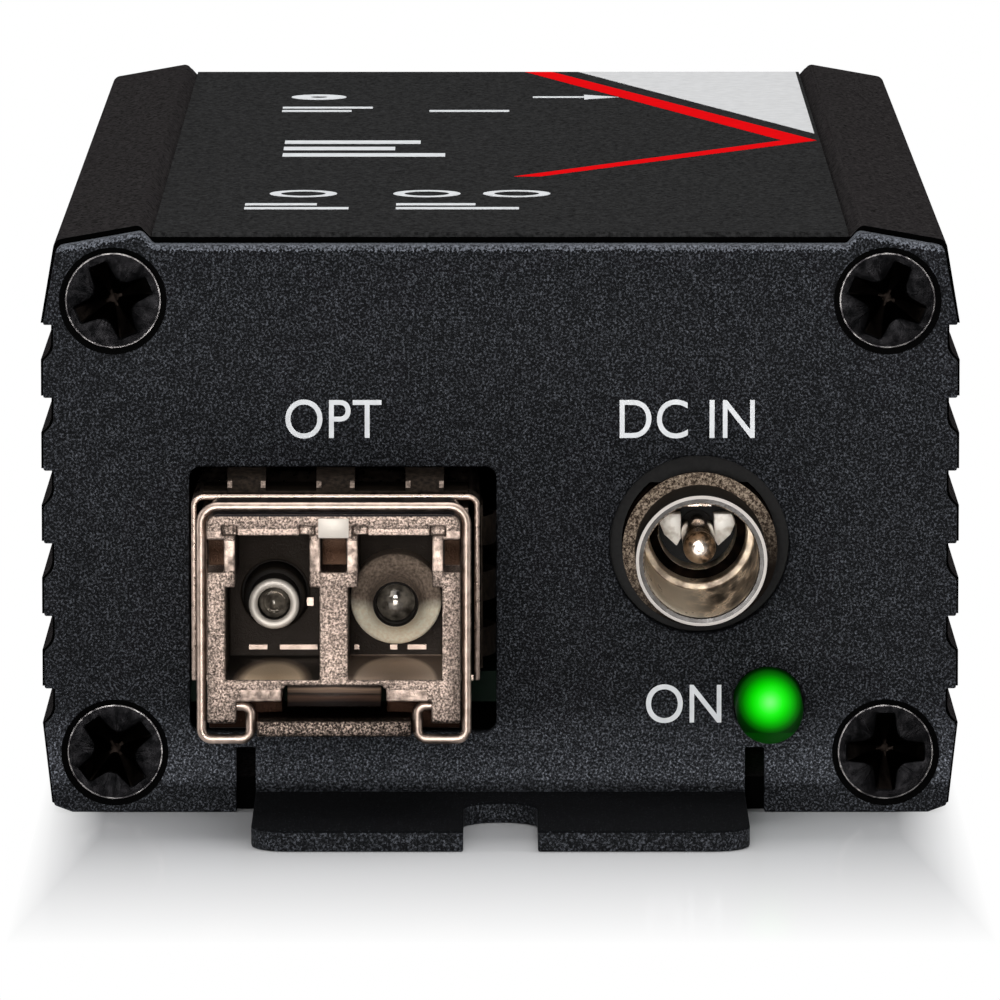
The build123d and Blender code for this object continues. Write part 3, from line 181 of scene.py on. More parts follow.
def smooth(piece, angle=35):
    """Shade smooth across edges flatter than this angle."""
    pick(piece)
    bpy.ops.object.shade_smooth_by_angle(angle=math.radians(angle))


def settle(piece):
    """Put the object at the origin, with its place in its mesh."""
    pick(piece)
    bpy.ops.object.transform_apply(location=True, rotation=True, scale=True)


def break_edges(piece, width, angle=40, segments=2):
    """Round the sharp edges of a piece."""
    bevel = piece.modifiers.new("edges", "BEVEL")
    bevel.width = width
    bevel.segments = segments
    bevel.limit_method = "ANGLE"
    bevel.angle_limit = math.radians(angle)
    bevel.use_clamp_overlap = False
    bevel.miter_outer = "MITER_SHARP"
    apply_modifiers(piece)


def hand_over(piece, material, body, stands_for=()):
    """Give a finished piece its material and its body."""
    piece.data.materials.clear()
    piece.data.materials.append(material)
    settle(piece)
    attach(piece, body)
    if stands_for:
        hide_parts(*stands_for)
    return piece


def round_grooves(piece, edge_x):
    """Give the hollow foot of each side groove its true curve in place of the solid's flat facets."""
    groove_x = edge_x - GROOVE_DEPTH
    drop = GROOVE_HEIGHT - GROOVE_STRAIGHT
    radius = (GROOVE_DEPTH**2 + drop**2) / (2 * GROOVE_DEPTH)
    starts = [FIRST_GROOVE - step * GROOVE_PITCH - GROOVE_STRAIGHT for step in range(6)]
    pick(piece)
    bpy.ops.object.mode_set(mode="EDIT")
    for start in starts:
        for share in (0.22, 0.42, 0.60, 0.75, 0.88):
            select_all()
            bpy.ops.mesh.bisect(plane_co=(0, 0, start - share * drop), plane_no=(0, 0, 1))
    bpy.ops.object.mode_set(mode="OBJECT")
    for vertex in piece.data.vertices:
        if abs(vertex.co.x) < groove_x - 0.01 * MM:
            continue
        for start in starts:
            below = start - vertex.co.z
            if 0.001 * MM < below < drop - 0.001 * MM:
                out = groove_x + radius - math.sqrt(radius**2 - below**2)
                vertex.co.x = math.copysign(out, vertex.co.x)
    bpy.ops.object.mode_set(mode="EDIT")
    select_all()
    bpy.ops.mesh.dissolve_limited(angle_limit=math.radians(0.5))
    bpy.ops.object.mode_set(mode="OBJECT")


def dressed_copy(node, name, material, body, width=None, angle=40, segments=2, grooves=None):
    """A copy of a solid with broken edges and smooth curves, standing for it."""
    source = frame["nodes"][node]
    pick(source)
    bpy.ops.object.duplicate()
    piece = bpy.context.active_object
    piece.name = name
    for key in list(piece.keys()):
        del piece[key]
    bpy.ops.object.parent_clear(type="CLEAR_KEEP_TRANSFORM")
    bpy.ops.object.mode_set(mode="EDIT")
    select_all()
    bpy.ops.mesh.remove_doubles(threshold=0.001 * MM)
    bpy.ops.mesh.dissolve_limited(angle_limit=math.radians(0.5))
    bpy.ops.object.mode_set(mode="OBJECT")
    if grooves:
        round_grooves(piece, grooves)
    if width:
        break_edges(piece, width, angle, segments)
    smooth(piece)
    return hand_over(piece, material, body, (node,))


def start_point(name, place):
    """A new mesh of a single vertex at this place, left in edit mode with the vertex selected."""
    deselect()
    bpy.ops.mesh.primitive_plane_add(size=MM, location=place)
    piece = bpy.context.active_object
    piece.name = name
    bpy.ops.object.mode_set(mode="EDIT")
    select_all()
    bpy.ops.mesh.merge(type="CENTER")
    return piece


def trace(name, points, closed=False):
    """A chain of edges through these points, left in edit mode with everything selected."""
    piece = start_point(name, points[0])
    for before, after in zip(points, points[1:]):
        step = Vector(after) - Vector(before)
        bpy.ops.mesh.extrude_region_move(TRANSFORM_OT_translate={"value": step})
    select_all()
    if closed:
        bpy.ops.mesh.edge_face_add()
    return piece


def select_all():
    """Select the whole mesh in edit mode."""
    bpy.ops.mesh.select_all(action="SELECT")


def close_edit():
    """Turn all faces outwards and leave edit mode."""
    select_all()
    bpy.ops.mesh.normals_make_consistent(inside=False)
    bpy.ops.object.mode_set(mode="OBJECT")


def turned(name, centre, profile, steps, angle=35, start=0.0):
    """A turned piece about an axis along Y: the profile is (millimetres from start, radius in millimetres)."""
    points = [(centre[0], start + y * MM, centre[2] + radius * MM) for y, radius in profile]
    piece = trace(name, points)
    bpy.ops.mesh.spin(steps=steps, angle=math.tau, center=(centre[0], 0, centre[2]), axis=(0, 1, 0))
    select_all()
    bpy.ops.mesh.remove_doubles(threshold=0.0005 * MM)
    close_edit()
    smooth(piece, angle)
    return piece


def middle(node):
    """Centre of a node's box across and upwards, on the plane y = 0."""
    low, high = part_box(node)
    return ((low.x + high.x) / 2, 0, (low.z + high.z) / 2)


def plate(name, outline, thickness, direction):
    """A flat shape through these points, thickened along this direction."""
    piece = trace(name, outline, closed=True)
    step = Vector(direction) * thickness
    bpy.ops.mesh.extrude_region_move(TRANSFORM_OT_translate={"value": step})
    close_edit()
    return piece


def box_piece(name, low, high):
    """A block between two corners."""
    low, high = Vector(low), Vector(high)
    outline = [(x, low.y, z) for x, z in ((low.x, low.z), (high.x, low.z), (high.x, high.z), (low.x, high.z))]
    return plate(name, outline, high.y - low.y, (0, 1, 0))


def join(name, pieces):
    """Join pieces into the first and rename it."""
    pick(*reversed(pieces))
    bpy.ops.object.join()
    joined = bpy.context.active_object
    joined.name = name
    return joined


# Materials


def by_node(operation):
    """A method that puts a value and another through a math node."""
    return lambda self, *other: self.made.math(operation, self, *other)


class Value:
    """A number worked out in a material, for use with the signs of arithmetic."""

    def __init__(self, made, socket):
        self.made, self.socket = made, socket

    __add__ = by_node("ADD")
    __sub__ = by_node("SUBTRACT")
    __mul__ = by_node("MULTIPLY")
    __truediv__ = by_node("DIVIDE")
    __or__ = by_node("MAXIMUM")
    __gt__ = by_node("GREATER_THAN")
    __lt__ = by_node("LESS_THAN")
    __abs__ = by_node("ABSOLUTE")
    least = by_node("MINIMUM")


def scaled(colour, factor):
    """A colour times a factor."""
    return tuple(channel * factor for channel in colour)


class Nodes:
    """Nodes under construction in one tree."""

    def __init__(self, tree):
        self.tree = tree
        self.place = self.node("ShaderNodeTexCoord").outputs["Object"]

    def node(self, kind, **settings):
        """Add a node and set its properties."""
        made = self.tree.nodes.new(kind)
        for key, value in settings.items():
            setattr(made, key, value)
        return made

    def link(self, output, target):
        """Link two sockets."""
        self.tree.links.new(getattr(output, "socket", output), target)

    def noise(self, grain_mm, detail=2.0, roughness=0.55, stretch=(1, 1, 1)):
        """Noise whose grains are about this many millimetres across."""
        mapping = self.node("ShaderNodeMapping")
        mapping.inputs["Scale"].default_value = stretch
        self.link(self.place, mapping.inputs["Vector"])
        noise = self.node("ShaderNodeTexNoise")
        noise.inputs["Scale"].default_value = 1 / (grain_mm * MM)
        noise.inputs["Detail"].default_value = detail
        noise.inputs["Roughness"].default_value = roughness
        self.link(mapping.outputs["Vector"], noise.inputs["Vector"])
        return Value(self, noise.outputs["Fac"])

    def ramp(self, value, *stops):
        """Colour ramp over stops, each a position and a colour's three channels."""
        ramp = self.node("ShaderNodeValToRGB")
        elements = ramp.color_ramp.elements
        for element, stop in ((elements[0], stops[0]), (elements[1], stops[-1])):
            element.position = stop[0]
            element.color = (*stop[1:], 1)
        for stop in stops[1:-1]:
            elements.new(stop[0]).color = (*stop[1:], 1)
        self.link(value, ramp.inputs["Fac"])
        return ramp.outputs["Color"]

    def shades(self, value, colour, *stops):
        """Colour ramp over shades of one colour, each stop a position and a factor."""
        return self.ramp(value, *((position, *scaled(colour, factor)) for position, factor in stops))

    def spread(self, value, low, high, start=0.25, end=0.75):
        """Map a value between start and end to a range, held at its ends."""
        spread = self.node("ShaderNodeMapRange")
        for name, number in (("From Min", start), ("From Max", end), ("To Min", low), ("To Max", high)):
            spread.inputs[name].default_value = number
        self.link(value, spread.inputs["Value"])
        return Value(self, spread.outputs["Result"])

    def math(self, operation, *values):
        """A math node on values, each a socket or a number."""
        made = self.node("ShaderNodeMath", operation=operation)
        for value, target in zip(values, made.inputs):
            if isinstance(value, (int, float)):
                target.default_value = value
            else:
                self.link(value, target)
        return Value(self, made.outputs[0])

    def reach(self, first, second, centre):
        """Distance of two coordinates from a centre."""
        across = self.math("POWER", first - centre[0], 2.0)
        return self.math("SQRT", across + self.math("POWER", second - centre[1], 2.0))

    def off_screw(self):
        """Distance from the nearest screw's axis."""
        x, _, z = self.axes()
        low, high = [self.reach(abs(x), z, (SCREW_X, height)) for height in (SCREW_LOW, SCREW_HIGH)]
        return low.least(high)

    def between(self, value, low, high):
        """One where a value lies between two limits, else nought."""
        return (value > low) * (value < high)

    def mix(self, factor, first, second):
        """Mix two colours, each a socket or a colour."""
        made = self.node("ShaderNodeMix", data_type="RGBA")
        self.link(factor, made.inputs["Factor"])
        for value, target in ((first, made.inputs[6]), (second, made.inputs[7])):
            if isinstance(value, tuple):
                target.default_value = (*value, 1)
            else:
                self.link(value, target)
        return made.outputs[2]

    def choose(self, share, first, second):
        """Mix two shaders."""
        made = self.node("ShaderNodeMixShader")
        for output, target in zip((share, first.outputs[0], second.outputs[0]), made.inputs):
            self.link(output, target)
        return made

    def axes(self):
        """The three object coordinates as values."""
        split = self.node("ShaderNodeSeparateXYZ")
        self.link(self.place, split.inputs[0])
        return [Value(self, output) for output in split.outputs]


class Finish(Nodes):
    """A material under construction: nodes on object coordinates, linked into one principled shader."""

    def __init__(self, name, colour, roughness, metallic=0.0, shine=0.5):
        self.material = bpy.data.materials.new(name)
        self.material.use_nodes = True
        super().__init__(self.material.node_tree)
        self.shader = self.tree.nodes["Principled BSDF"]
        self.set("Base Color", (*colour, 1))
        self.set("Roughness", roughness)
        self.set("Metallic", metallic)
        self.set("Specular IOR Level", shine)

    def set(self, name, value):
        """Set an input of the shader."""
        self.shader.inputs[name].default_value = value

    def colour(self, output):
        """Use a colour output as the base colour."""
        self.link(output, self.shader.inputs["Base Color"])

    def rough(self, output):
        """Use a value output as the roughness."""
        self.link(output, self.shader.inputs["Roughness"])

    def bump(self, height, depth_mm, strength=1.0):
        """Raise the surface by a height value, adding to any bump already there."""
        bump = self.node("ShaderNodeBump")
        bump.inputs["Strength"].default_value = strength
        bump.inputs["Distance"].default_value = depth_mm * MM
        self.link(height, bump.inputs["Height"])
        if self.shader.inputs["Normal"].links:
            self.link(self.shader.inputs["Normal"].links[0].from_socket, bump.inputs["Normal"])
        self.link(bump.outputs["Normal"], self.shader.inputs["Normal"])


finishes = {}


def finish(name):
    """A finish by name, made once."""
    if name not in finishes:
        finishes[name] = FINISH_MAKERS[name](bpy.context.scene.converter_colours)
    return finishes[name]


def make_coat(colours):
    """Black coat with dense fine grains, with painted light low on the panels, a painted highlight along their top
    edge, painted shade on the flange's top and a painted shadow round each screw seat.
    """
    made = Finish("speckled_coat", tuple(colours.coat), 0.6, shine=0.05)
    x, y, z = made.axes()
    grains = made.noise(0.12, detail=2.5, roughness=0.75)
    drift = made.noise(0.9, detail=1.0)
    dark, pale = tuple(colours.coat), colours.speckle
    ramp = made.ramp(grains, (0.42, *dark), (0.5, *scaled(pale, 0.07)), (0.58, *scaled(pale, 0.42)), (0.68, *pale))
    coat = made.mix(made.spread(drift, 0.0, 0.45), ramp, dark)
    # Painted light: a band low on the panels, from just above the flange to about 5.7 mm up, gets brighter grains
    # against the shadow of the parts in front.
    painted_light_low_panel = made.shades(grains, colours.speckle, (0.42, 0.1), (0.56, 0.7), (0.68, 3.2))
    low = made.ramp(z / (6.0 * MM), (0.22, 0, 0, 0), (0.3, 0.7, 0.7, 0.7), (0.4, 0.7, 0.7, 0.7), (0.95, 0, 0, 0))
    coat = made.mix(low, coat, painted_light_low_panel)
    side = abs(x)
    # Painted shadow: the countersink round each screw head is painted black, for the shadowed gap between head and
    # panel.
    painted_shadow_seat = made.off_screw() < 2.78 * MM
    # Painted highlight: a ragged band along the panels' top edge and shoulders gets brighter grains, as where the
    # rounded edge catches the light.
    slope = side * -0.1773 + 33.56 * MM
    wall = side * 1.1167 + 9.622 * MM
    edge = slope.least(wall | 29.61 * MM)
    ragged = grains * (0.8 * MM) - 0.14 * MM
    painted_edge_highlight = edge - z < ragged
    tone_and_painted_light = made.shades(grains, colours.speckle, (0.42, 0.2), (0.66, 1.9))
    coat = made.mix(painted_edge_highlight, coat, tone_and_painted_light)
    # Painted shade: the flange's top in front of the panels is darkened to sparse grains on black, as if little light
    # reached it.
    reach = abs(y) + PANEL_FACE
    foot = (reach > 0.35 * MM) * made.between(z, 0.98 * MM, 1.6 * MM)
    painted_shade_flange = made.ramp(grains, (0.62, *scaled(dark, 0.9)), (0.76, *scaled(pale, 0.8)))
    coat = made.mix(foot, coat, painted_shade_flange)
    made.colour(made.mix(painted_shadow_seat, coat, (0.0002, 0.0002, 0.0002)))
    made.rough((painted_shadow_seat | foot) * 0.4 + 0.6)
    made.bump(grains, 0.06, 0.9)
    return made.material


def make_anodised(colours):
    """Matt anodised body with a fine grain, with painted shadow on its cut ends and along the label's front edge."""
    made = Finish("black_anodised", tuple(colours.anodised), 0.65, shine=0.0)
    grains = made.noise(0.24, detail=2.5, roughness=0.8)
    x, y, z = made.axes()
    # Painted shadow: the body's end faces and a strip along the label's front edge are painted near black, for the
    # dark gap above the panels' top edge.
    painted_shadow_ends = abs(y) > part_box("body_extrusion")[1].y - 0.04 * MM
    strip = y < LABEL_LOW.y + 0.02 * MM
    strip = strip * (abs(x) < LABEL_HIGH.x + 0.1 * MM)
    strip = strip * (z > 29.0 * MM)
    painted_shadow_ends = painted_shadow_ends | strip
    ground = made.shades(grains, colours.anodised, (0.36, 0.35), (0.64, 2.0))
    made.colour(made.mix(painted_shadow_ends, ground, (0.001, 0.001, 0.001)))
    made.bump(grains, 0.012, 0.5)
    return made.material


def make_screw_steel(colours):
    """Black oiled screw steel whose wear shows a little brown, with a painted highlight on each head's rim and
    painted shade in its cross recess.
    """
    made = Finish("black_steel", (0.02, 0.02, 0.021), 0.3, 1.0, shine=0.1)
    _, y, _ = made.axes()
    cloud = made.noise(0.5, detail=3.0, roughness=0.6)
    tone_and_painted_light = made.ramp(cloud, (0.36, 0.0012, 0.0012, 0.0013), (0.68, 0.0045, 0.0043, 0.0046))
    # Painted highlight: a thin ring at the rim of each head is lightened.
    rim = made.between(made.off_screw(), 2.4 * MM, 2.5 * MM)
    tone_and_painted_light = made.mix(rim, tone_and_painted_light, made.ramp(cloud, (0.36, 0.012, 0.011, 0.012), (0.62, 0.085, 0.08, 0.078)))
    # Painted shade: inside the cross recess and below the head's face, the steel is painted near black brown.
    recess_painted_shade = abs(y) < SCREW_TOP - 0.1 * MM
    made.colour(made.mix(recess_painted_shade, tone_and_painted_light, (0.0032, 0.0024, 0.002)))
    made.rough(made.spread(cloud, 0.42, 0.26))
    made.bump(made.noise(0.26, detail=3.0, roughness=0.6), 0.016, 0.7)
    return made.material


def make_cast(colours):
    """Sandy plated casting, with painted highlights on its port edges and latch posts, and painted shade in its
    pockets, its ports, low down behind its face and on its top.
    """
    metal = tuple(colours.warm_metal)
    made = Finish("cast_nickel", metal, 0.36, 1.0, shine=0.05)
    x, y, z = made.axes()
    grains = made.noise(0.11, detail=2.5, roughness=0.75)
    cloud = made.noise(0.45, detail=2.0)
    sandy = made.shades(grains, metal, (0.36, 0.12), (0.46, 0.34), (0.54, 0.6), (0.64, 1.1))
    polish_and_highlight = made.shades(cloud, metal, (0.32, 0.4), (0.5, 1.0), (0.68, 1.8))
    depth = y - NOSE_FACE
    across = x - CAGE_X
    beside = abs(across)
    off_fiber = abs(beside - FIBER_PITCH / 2)
    behind = depth > 0.16 * MM
    # Shades over the casting, from its face inwards, with painted highlights on edges and posts and painted shade in
    # pockets, ports, beneath and on top
    ground = made.mix(z < 6.28 * MM, sandy, made.shades(grains, metal, (0.38, 0.02), (0.5, 0.11), (0.64, 0.65)))
    # Painted highlight: a band along the ports' top edges is lightened, for the light caught by the bar's lower
    # edges.
    lip = made.between(z, 15.8 * MM, 16.1 * MM) * (off_fiber < 1.75 * MM)
    ground = made.mix(lip, ground, made.shades(grains, metal, (0.38, 0.6), (0.58, 2.0)))
    # The latch posts, two tabs low down and two hooks by the top take a lighter tone: on the rounded posts it is a
    # painted highlight.
    post = made.between(z, 13.95 * MM, 15.5 * MM) * made.between(off_fiber, 1.84 * MM, 2.5 * MM)
    tab = made.between(z, 7.0 * MM, 7.82 * MM) * made.between(beside, 2.55 * MM, 4.75 * MM)
    hook = made.between(z, 15.56 * MM, 15.98 * MM) * (beside > 5.75 * MM)
    bright = post | tab | hook
    ground = made.mix(bright, ground, polish_and_highlight)
    # Painted shade: the latch pockets are darkened, darkest about mid height and lighter at their bottom and top
    # edges.
    pocket = made.between(z, 13.9 * MM, 15.6 * MM) * (depth > 0.2 * MM)
    height = (z - 13.9 * MM) / (1.7 * MM)
    recess_painted_shade = made.ramp(height, (0.0, 0.05, 0.028, 0.018), (0.45, 0.02, 0.01, 0.006), (1.0, 0.06, 0.036, 0.024))
    ground = made.mix(pocket, ground, recess_painted_shade)
    # Painted shade inside the ports: the walls darken with depth, and the floors get painted light round each fibre
    # axis that fades to shade at their walls.
    fade = depth / (2.2 * MM)
    walls = made.ramp(fade, (0.05, 0.16, 0.125, 0.1), (0.45, 0.04, 0.03, 0.024), (1.0, 0.024, 0.018, 0.014))
    arcs = made.reach(beside, depth * 0.25, (FIBER_PITCH / 2, 0.0)) / (2.2 * MM)
    left_floor = made.ramp(
        arcs, (0.1, 0.42, 0.3, 0.19), (0.62, 0.62, 0.46, 0.31), (0.8, 0.14, 0.1, 0.07), (0.94, 0.02, 0.016, 0.013)
    )
    right_floor = made.ramp(
        arcs, (0.1, 0.22, 0.155, 0.11), (0.62, 0.38, 0.275, 0.2), (0.9, 0.5, 0.375, 0.28), (1.0, 0.14, 0.1, 0.075)
    )
    floor = made.mix(across > 0.0, left_floor, right_floor)
    lined = made.mix(z < 8.42 * MM, walls, floor)
    inner = (off_fiber < 2.52 * MM) * made.between(z, 8.24 * MM, 15.79 * MM) * behind
    ground = made.mix(inner, ground, lined)
    # Painted shade: the casting low down and behind its face is painted near black.
    beneath = (z < 7.1 * MM) * (depth > 1.3 * MM)
    ground = made.mix(beneath, ground, (0.012, 0.006, 0.004))
    # Painted shade: the casting's top, between the bail's wire and the cage, is painted near black.
    made.colour(made.mix(z > 16.74 * MM, ground, (0.01, 0.009, 0.01)))
    made.link(inner * -0.85 + 1.0, made.shader.inputs["Metallic"])
    made.rough(made.spread(grains, 0.5, 0.32))
    made.bump(grains, 0.04, 0.8)
    return made.material


def make_slider(colours):
    """Brown steel strip with level streaks."""
    made = Finish("slider_steel", (0.05, 0.03, 0.02), 0.42, 0.2, shine=0.1)
    _, _, z = made.axes()
    streaks = made.noise(0.5, detail=2.0, stretch=(0.15, 0.3, 2.0))
    level = (z - 6.4 * MM) / (1.5 * MM) + made.spread(streaks, -0.05, 0.05)
    shade = made.ramp(
        level,
        (0.05, 0.016, 0.006, 0.003), (0.22, 0.003, 0.0016, 0.001), (0.36, 0.007, 0.0034, 0.0022),
        (0.54, 0.042, 0.021, 0.012), (0.68, 0.007, 0.004, 0.0025), (0.8, 0.15, 0.095, 0.062),
        (0.9, 0.015, 0.0085, 0.0055),
    )
    made.colour(shade)
    made.bump(streaks, 0.02, 0.5)
    return made.material


def make_fingers(colours):
    """Spring strip in painted shade, whose fingers' feet carry painted highlights."""
    metal = scaled(colours.warm_metal, 1.0)
    made = Finish("spring_metal", metal, 0.5, 0.7, shine=0.1)
    x, y, z = made.axes()
    marks = made.noise(0.22, detail=2.0)
    painted_shade_tone = made.ramp(marks, (0.3, 0.004, 0.0028, 0.002), (0.7, 0.02, 0.014, 0.01))
    beside = abs(made.math("WRAP", x - CAGE_X, -2.3 * MM, 2.3 * MM))
    # Painted highlight on the feet of each finger; the rest of the strip is painted shade.
    feet = made.between(beside, 0.74 * MM, 0.98 * MM) * made.between(z, CAGE_TOP + 0.3 * MM, CAGE_TOP + 0.62 * MM)
    made.colour(made.mix(feet, painted_shade_tone, made.shades(marks, metal, (0.3, 0.1), (0.7, 0.85))))
    made.bump(marks, 0.01, 0.5)
    return made.material


def make_barrel(colours):
    """Turned steel with fine rings, and painted shade on its side behind the face."""
    metal = (0.62, 0.56, 0.49)
    made = Finish("turned_steel", metal, 0.46, 0.35)
    rings = made.noise(0.12, detail=1.0, stretch=(0.05, 1, 0.05))
    _, y, _ = made.axes()
    ring = made.shades(rings, metal, (0.3, 0.8), (0.7, 1.1))
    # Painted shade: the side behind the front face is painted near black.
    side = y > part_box("transmit_barrel")[0].y + 0.24 * MM
    made.colour(made.mix(side, ring, (0.02, 0.016, 0.014)))
    made.bump(rings, 0.004, 0.6)
    return made.material


def make_flange(colours):
    """Dark turned flange behind the transmit ring."""
    made = Finish("dark_flange", (0.03, 0.025, 0.022), 0.5, 0.0, shine=0.05)
    rings = made.noise(0.15, detail=1.0, stretch=(0.05, 1, 0.05))
    made.colour(made.ramp(rings, (0.3, 0.005, 0.004, 0.0032), (0.7, 0.018, 0.014, 0.011)))
    made.bump(rings, 0.004, 0.5)
    return made.material


def make_bell(colours):
    """Turned bell: a painted reflection low down where it opens downwards, painted shade above, dark round its bore.
    """
    metal = scaled(colours.warm_metal, 1.75)
    made = Finish("bell_steel", metal, 0.38, 0.15, shine=0.2)
    x, y, z = made.axes()
    axis_x = sum((corner.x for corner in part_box("receive_barrel"))) / 2
    axis_z = sum((corner.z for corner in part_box("receive_barrel"))) / 2
    from_axis = made.reach(x, z, (axis_x, axis_z))
    rings = made.noise(0.16, detail=1.5, stretch=(1, 1, 1))
    pale = made.ramp(rings, (0.3, 0.9, 0.76, 0.55), (0.7, 1.0, 0.93, 0.74))
    painted_shade_tone = made.ramp(rings, (0.3, 0.13, 0.095, 0.072), (0.7, 0.36, 0.27, 0.205))
    # Painted reflection: the lower part of the cone is pale, as where it mirrors the floor, and the upper part is in
    # painted shade.
    height = (z - axis_z) / (2.36 * MM)
    lit = made.ramp(height + 0.5, (0.27, 1, 1, 1), (0.54, 0, 0, 0))
    cone = made.mix(lit, painted_shade_tone, pale)
    lip = made.between(from_axis, 0.98 * MM, 1.17 * MM)
    cone = made.mix(lip, cone, (0.01, 0.008, 0.007))
    bore = from_axis < 0.98 * MM
    made.colour(made.mix(bore, cone, (0.06, 0.05, 0.043)))
    made.bump(rings, 0.004, 0.5)
    return made.material


def make_lining(colours):
    """Warm plated bore with soft wavy streaks, painted light on its lower side and a painted highlight on an inner
    step.
    """
    metal = (0.8, 0.64, 0.47)
    made = Finish("bore_plate", metal, 0.3, 0.25)
    waves = made.noise(1.1, detail=3.0, stretch=(1, 0.35, 1))
    x, y, z = made.axes()
    plate_colour = made.shades(waves, metal, (0.36, 0.07), (0.5, 0.4), (0.6, 1.2))
    # Painted light: the bore's lower left side is pale, as where the light falls into it.
    lower = x * -0.75 + z * -0.66
    lower = lower + (0.75 * JACK_X + 0.66 * JACK_Z)
    lower = made.ramp(lower / (2.92 * MM), (0.5, 0, 0, 0), (0.85, 0.9, 0.9, 0.9))
    lower = made.mix(lower, plate_colour, (1.0, 0.88, 0.7))
    # Painted highlight on the inner step about 10 mm in.
    step = made.between(y, TUBE_LOW.y + 10.1 * MM, TUBE_LOW.y + 10.5 * MM)
    lower = made.mix(step, lower, made.ramp(waves, (0.36, 0.22, 0.16, 0.11), (0.58, 0.85, 0.7, 0.52)))
    lip = y < TUBE_LOW.y + 0.1 * MM
    made.colour(made.mix(lip, lower, (0.025, 0.02, 0.016)))
    made.rough(made.spread(waves, 0.42, 0.22))
    made.bump(waves, 0.08, 0.6)
    return made.material


def make_nickel(colours):
    """Bright plate with gently wavy reflections."""
    metal = (0.6, 0.5, 0.42)
    made = Finish("nickel_plate", metal, 0.16, 1.0)
    waves = made.noise(1.3, detail=1.5)
    made.colour(made.shades(waves, metal, (0.3, 0.8), (0.7, 1.1)))
    made.bump(waves, 0.06, 0.5)
    made.bump(made.noise(0.1, detail=1.0), 0.004, 0.4)
    return made.material


def make_leaf(colours):
    """Pale plated spring leaves deep in the jack."""
    made = Finish("leaf_plate", (0.80, 0.74, 0.66), 0.45, 0.2)
    marks = made.noise(0.5)
    made.colour(made.ramp(marks, (0.26, 0.62, 0.56, 0.48), (0.52, 1.0, 0.97, 0.90)))
    made.bump(marks, 0.01, 0.5)
    return made.material


def make_lens(colours):
    """Small clear lens in a barrel."""
    made = Finish("clear_lens", (0.20, 0.19, 0.19), 0.08, 0.4)
    made.colour(made.ramp(made.noise(0.5), (0.35, 0.025, 0.020, 0.015), (0.65, 0.17, 0.145, 0.115)))
    return made.material


def make_tube(colours):
    """Dark plated side of the tube with a bright rim at the mouth."""
    made = Finish("plated_tube", (0.05, 0.045, 0.04), 0.5, 0.0, shine=0.02)
    pits = made.noise(0.15, detail=2.0, roughness=0.7)
    _, y, _ = made.axes()
    rim = y < TUBE_LOW.y + 0.1 * MM
    side = made.ramp(pits, (0.36, 0.002, 0.0016, 0.0013), (0.64, 0.012, 0.01, 0.008))
    made.colour(made.mix(rim, side, (0.5, 0.46, 0.425)))
    made.bump(pits, 0.01, 0.4)
    return made.material


def make_collar(colours):
    """Dark oxide on the threaded collar, with a sandy plated face in painted light at its upper left that fades to
    painted shade lower down.
    """
    made = Finish("dark_collar", (0.022, 0.017, 0.015), 0.5, 0.0, shine=0.0)
    x, y, z = made.axes()
    cloud = made.noise(0.8, detail=2.0)
    grains = made.noise(0.13, detail=2.5, roughness=0.75)
    side = made.ramp(cloud, (0.35, 0.001, 0.0007, 0.0006), (0.65, 0.008, 0.005, 0.0036))
    metal = tuple(colours.warm_metal)
    face = made.ramp(grains, (0.38, 0.022, 0.015, 0.011), (0.5, 0.115, 0.085, 0.062), (0.62, 0.31, 0.245, 0.185))
    # Painted light on the face: its upper left is lit and it darkens towards the lower right.
    upward = z - JACK_Z + (x - JACK_X) * -0.5
    lit = (upward + 4.6 * MM) / (7.5 * MM)
    tone_and_painted_light = made.mix(made.ramp(lit, (0.25, 0.0, 0.0, 0.0), (0.8, 1.0, 1.0, 1.0)), (0.01, 0.0075, 0.006), face)
    front = y < PANEL_FACE - 1.62 * MM
    made.colour(made.mix(front, side, tone_and_painted_light))
    made.bump(grains, 0.02, 0.6)
    return made.material


def make_lamp(colours):
    """Green lens lit from inside, brightest just above its middle."""
    glow = tuple(colours.lamp)
    made = Finish("green_lens", scaled(glow, 0.02), 0.5, shine=0.05)
    x, y, z = made.axes()
    height = (y - LAMP_LOW.y) * 0.13 + z
    centre = ((LAMP_LOW.x + LAMP_HIGH.x) / 2, (LAMP_LOW.z + LAMP_HIGH.z) / 2 + 0.66 * MM)
    share = made.reach(x, height, centre) / (2.0 * MM)
    light = made.ramp(
        share,
        (0.0, 0.2, 1.0, 0.195), (0.1, 0.14, 1.0, 0.135), (0.195, 0.065, 0.98, 0.06),
        (0.32, 0.011, 0.905, 0.008), (0.45, 0.002, 0.686, 0.0), (0.58, 0.001, 0.392, 0.0),
        (0.71, 0.001, 0.138, 0.0), (0.835, 0.0, 0.013, 0.0), (0.92, 0.0, 0.004, 0.0),
    )
    light = made.mix(height < centre[1] - 1.6 * MM, light, (0.0004, 0.026, 0.0004))
    made.link(light, made.shader.inputs["Emission Color"])
    made.set("Emission Strength", 1.0)
    made.bump(made.noise(0.4), 0.002, 0.2)
    return made.material


def make_plain(
    name, colour, roughness, metallic=0.0, noise=(0.2, 2.0), low=(0.30, 0.75), high=(0.70, 1.25), depth=0.01,
    strength=0.6, shine=0.5, rough=None,
):
    """Surface with a light grain: low and high are its darkest and lightest shade, each a position and a factor."""
    made = Finish(name, colour, roughness, metallic, shine)
    grains = made.noise(*noise)
    made.colour(made.shades(grains, colour, low, high))
    if rough:
        made.rough(made.spread(grains, *rough))
    if depth:
        made.bump(grains, depth, strength)
    return made.material


def plain(colour, name, *settings, **more):
    """A maker of a plain finish whose colour is a fixed one, or a setting's name with a factor."""

    def maker(colours):
        ground = scaled(getattr(colours, colour[0]), colour[1]) if isinstance(colour[0], str) else colour
        return make_plain(name, ground, *settings, **more)

    return maker


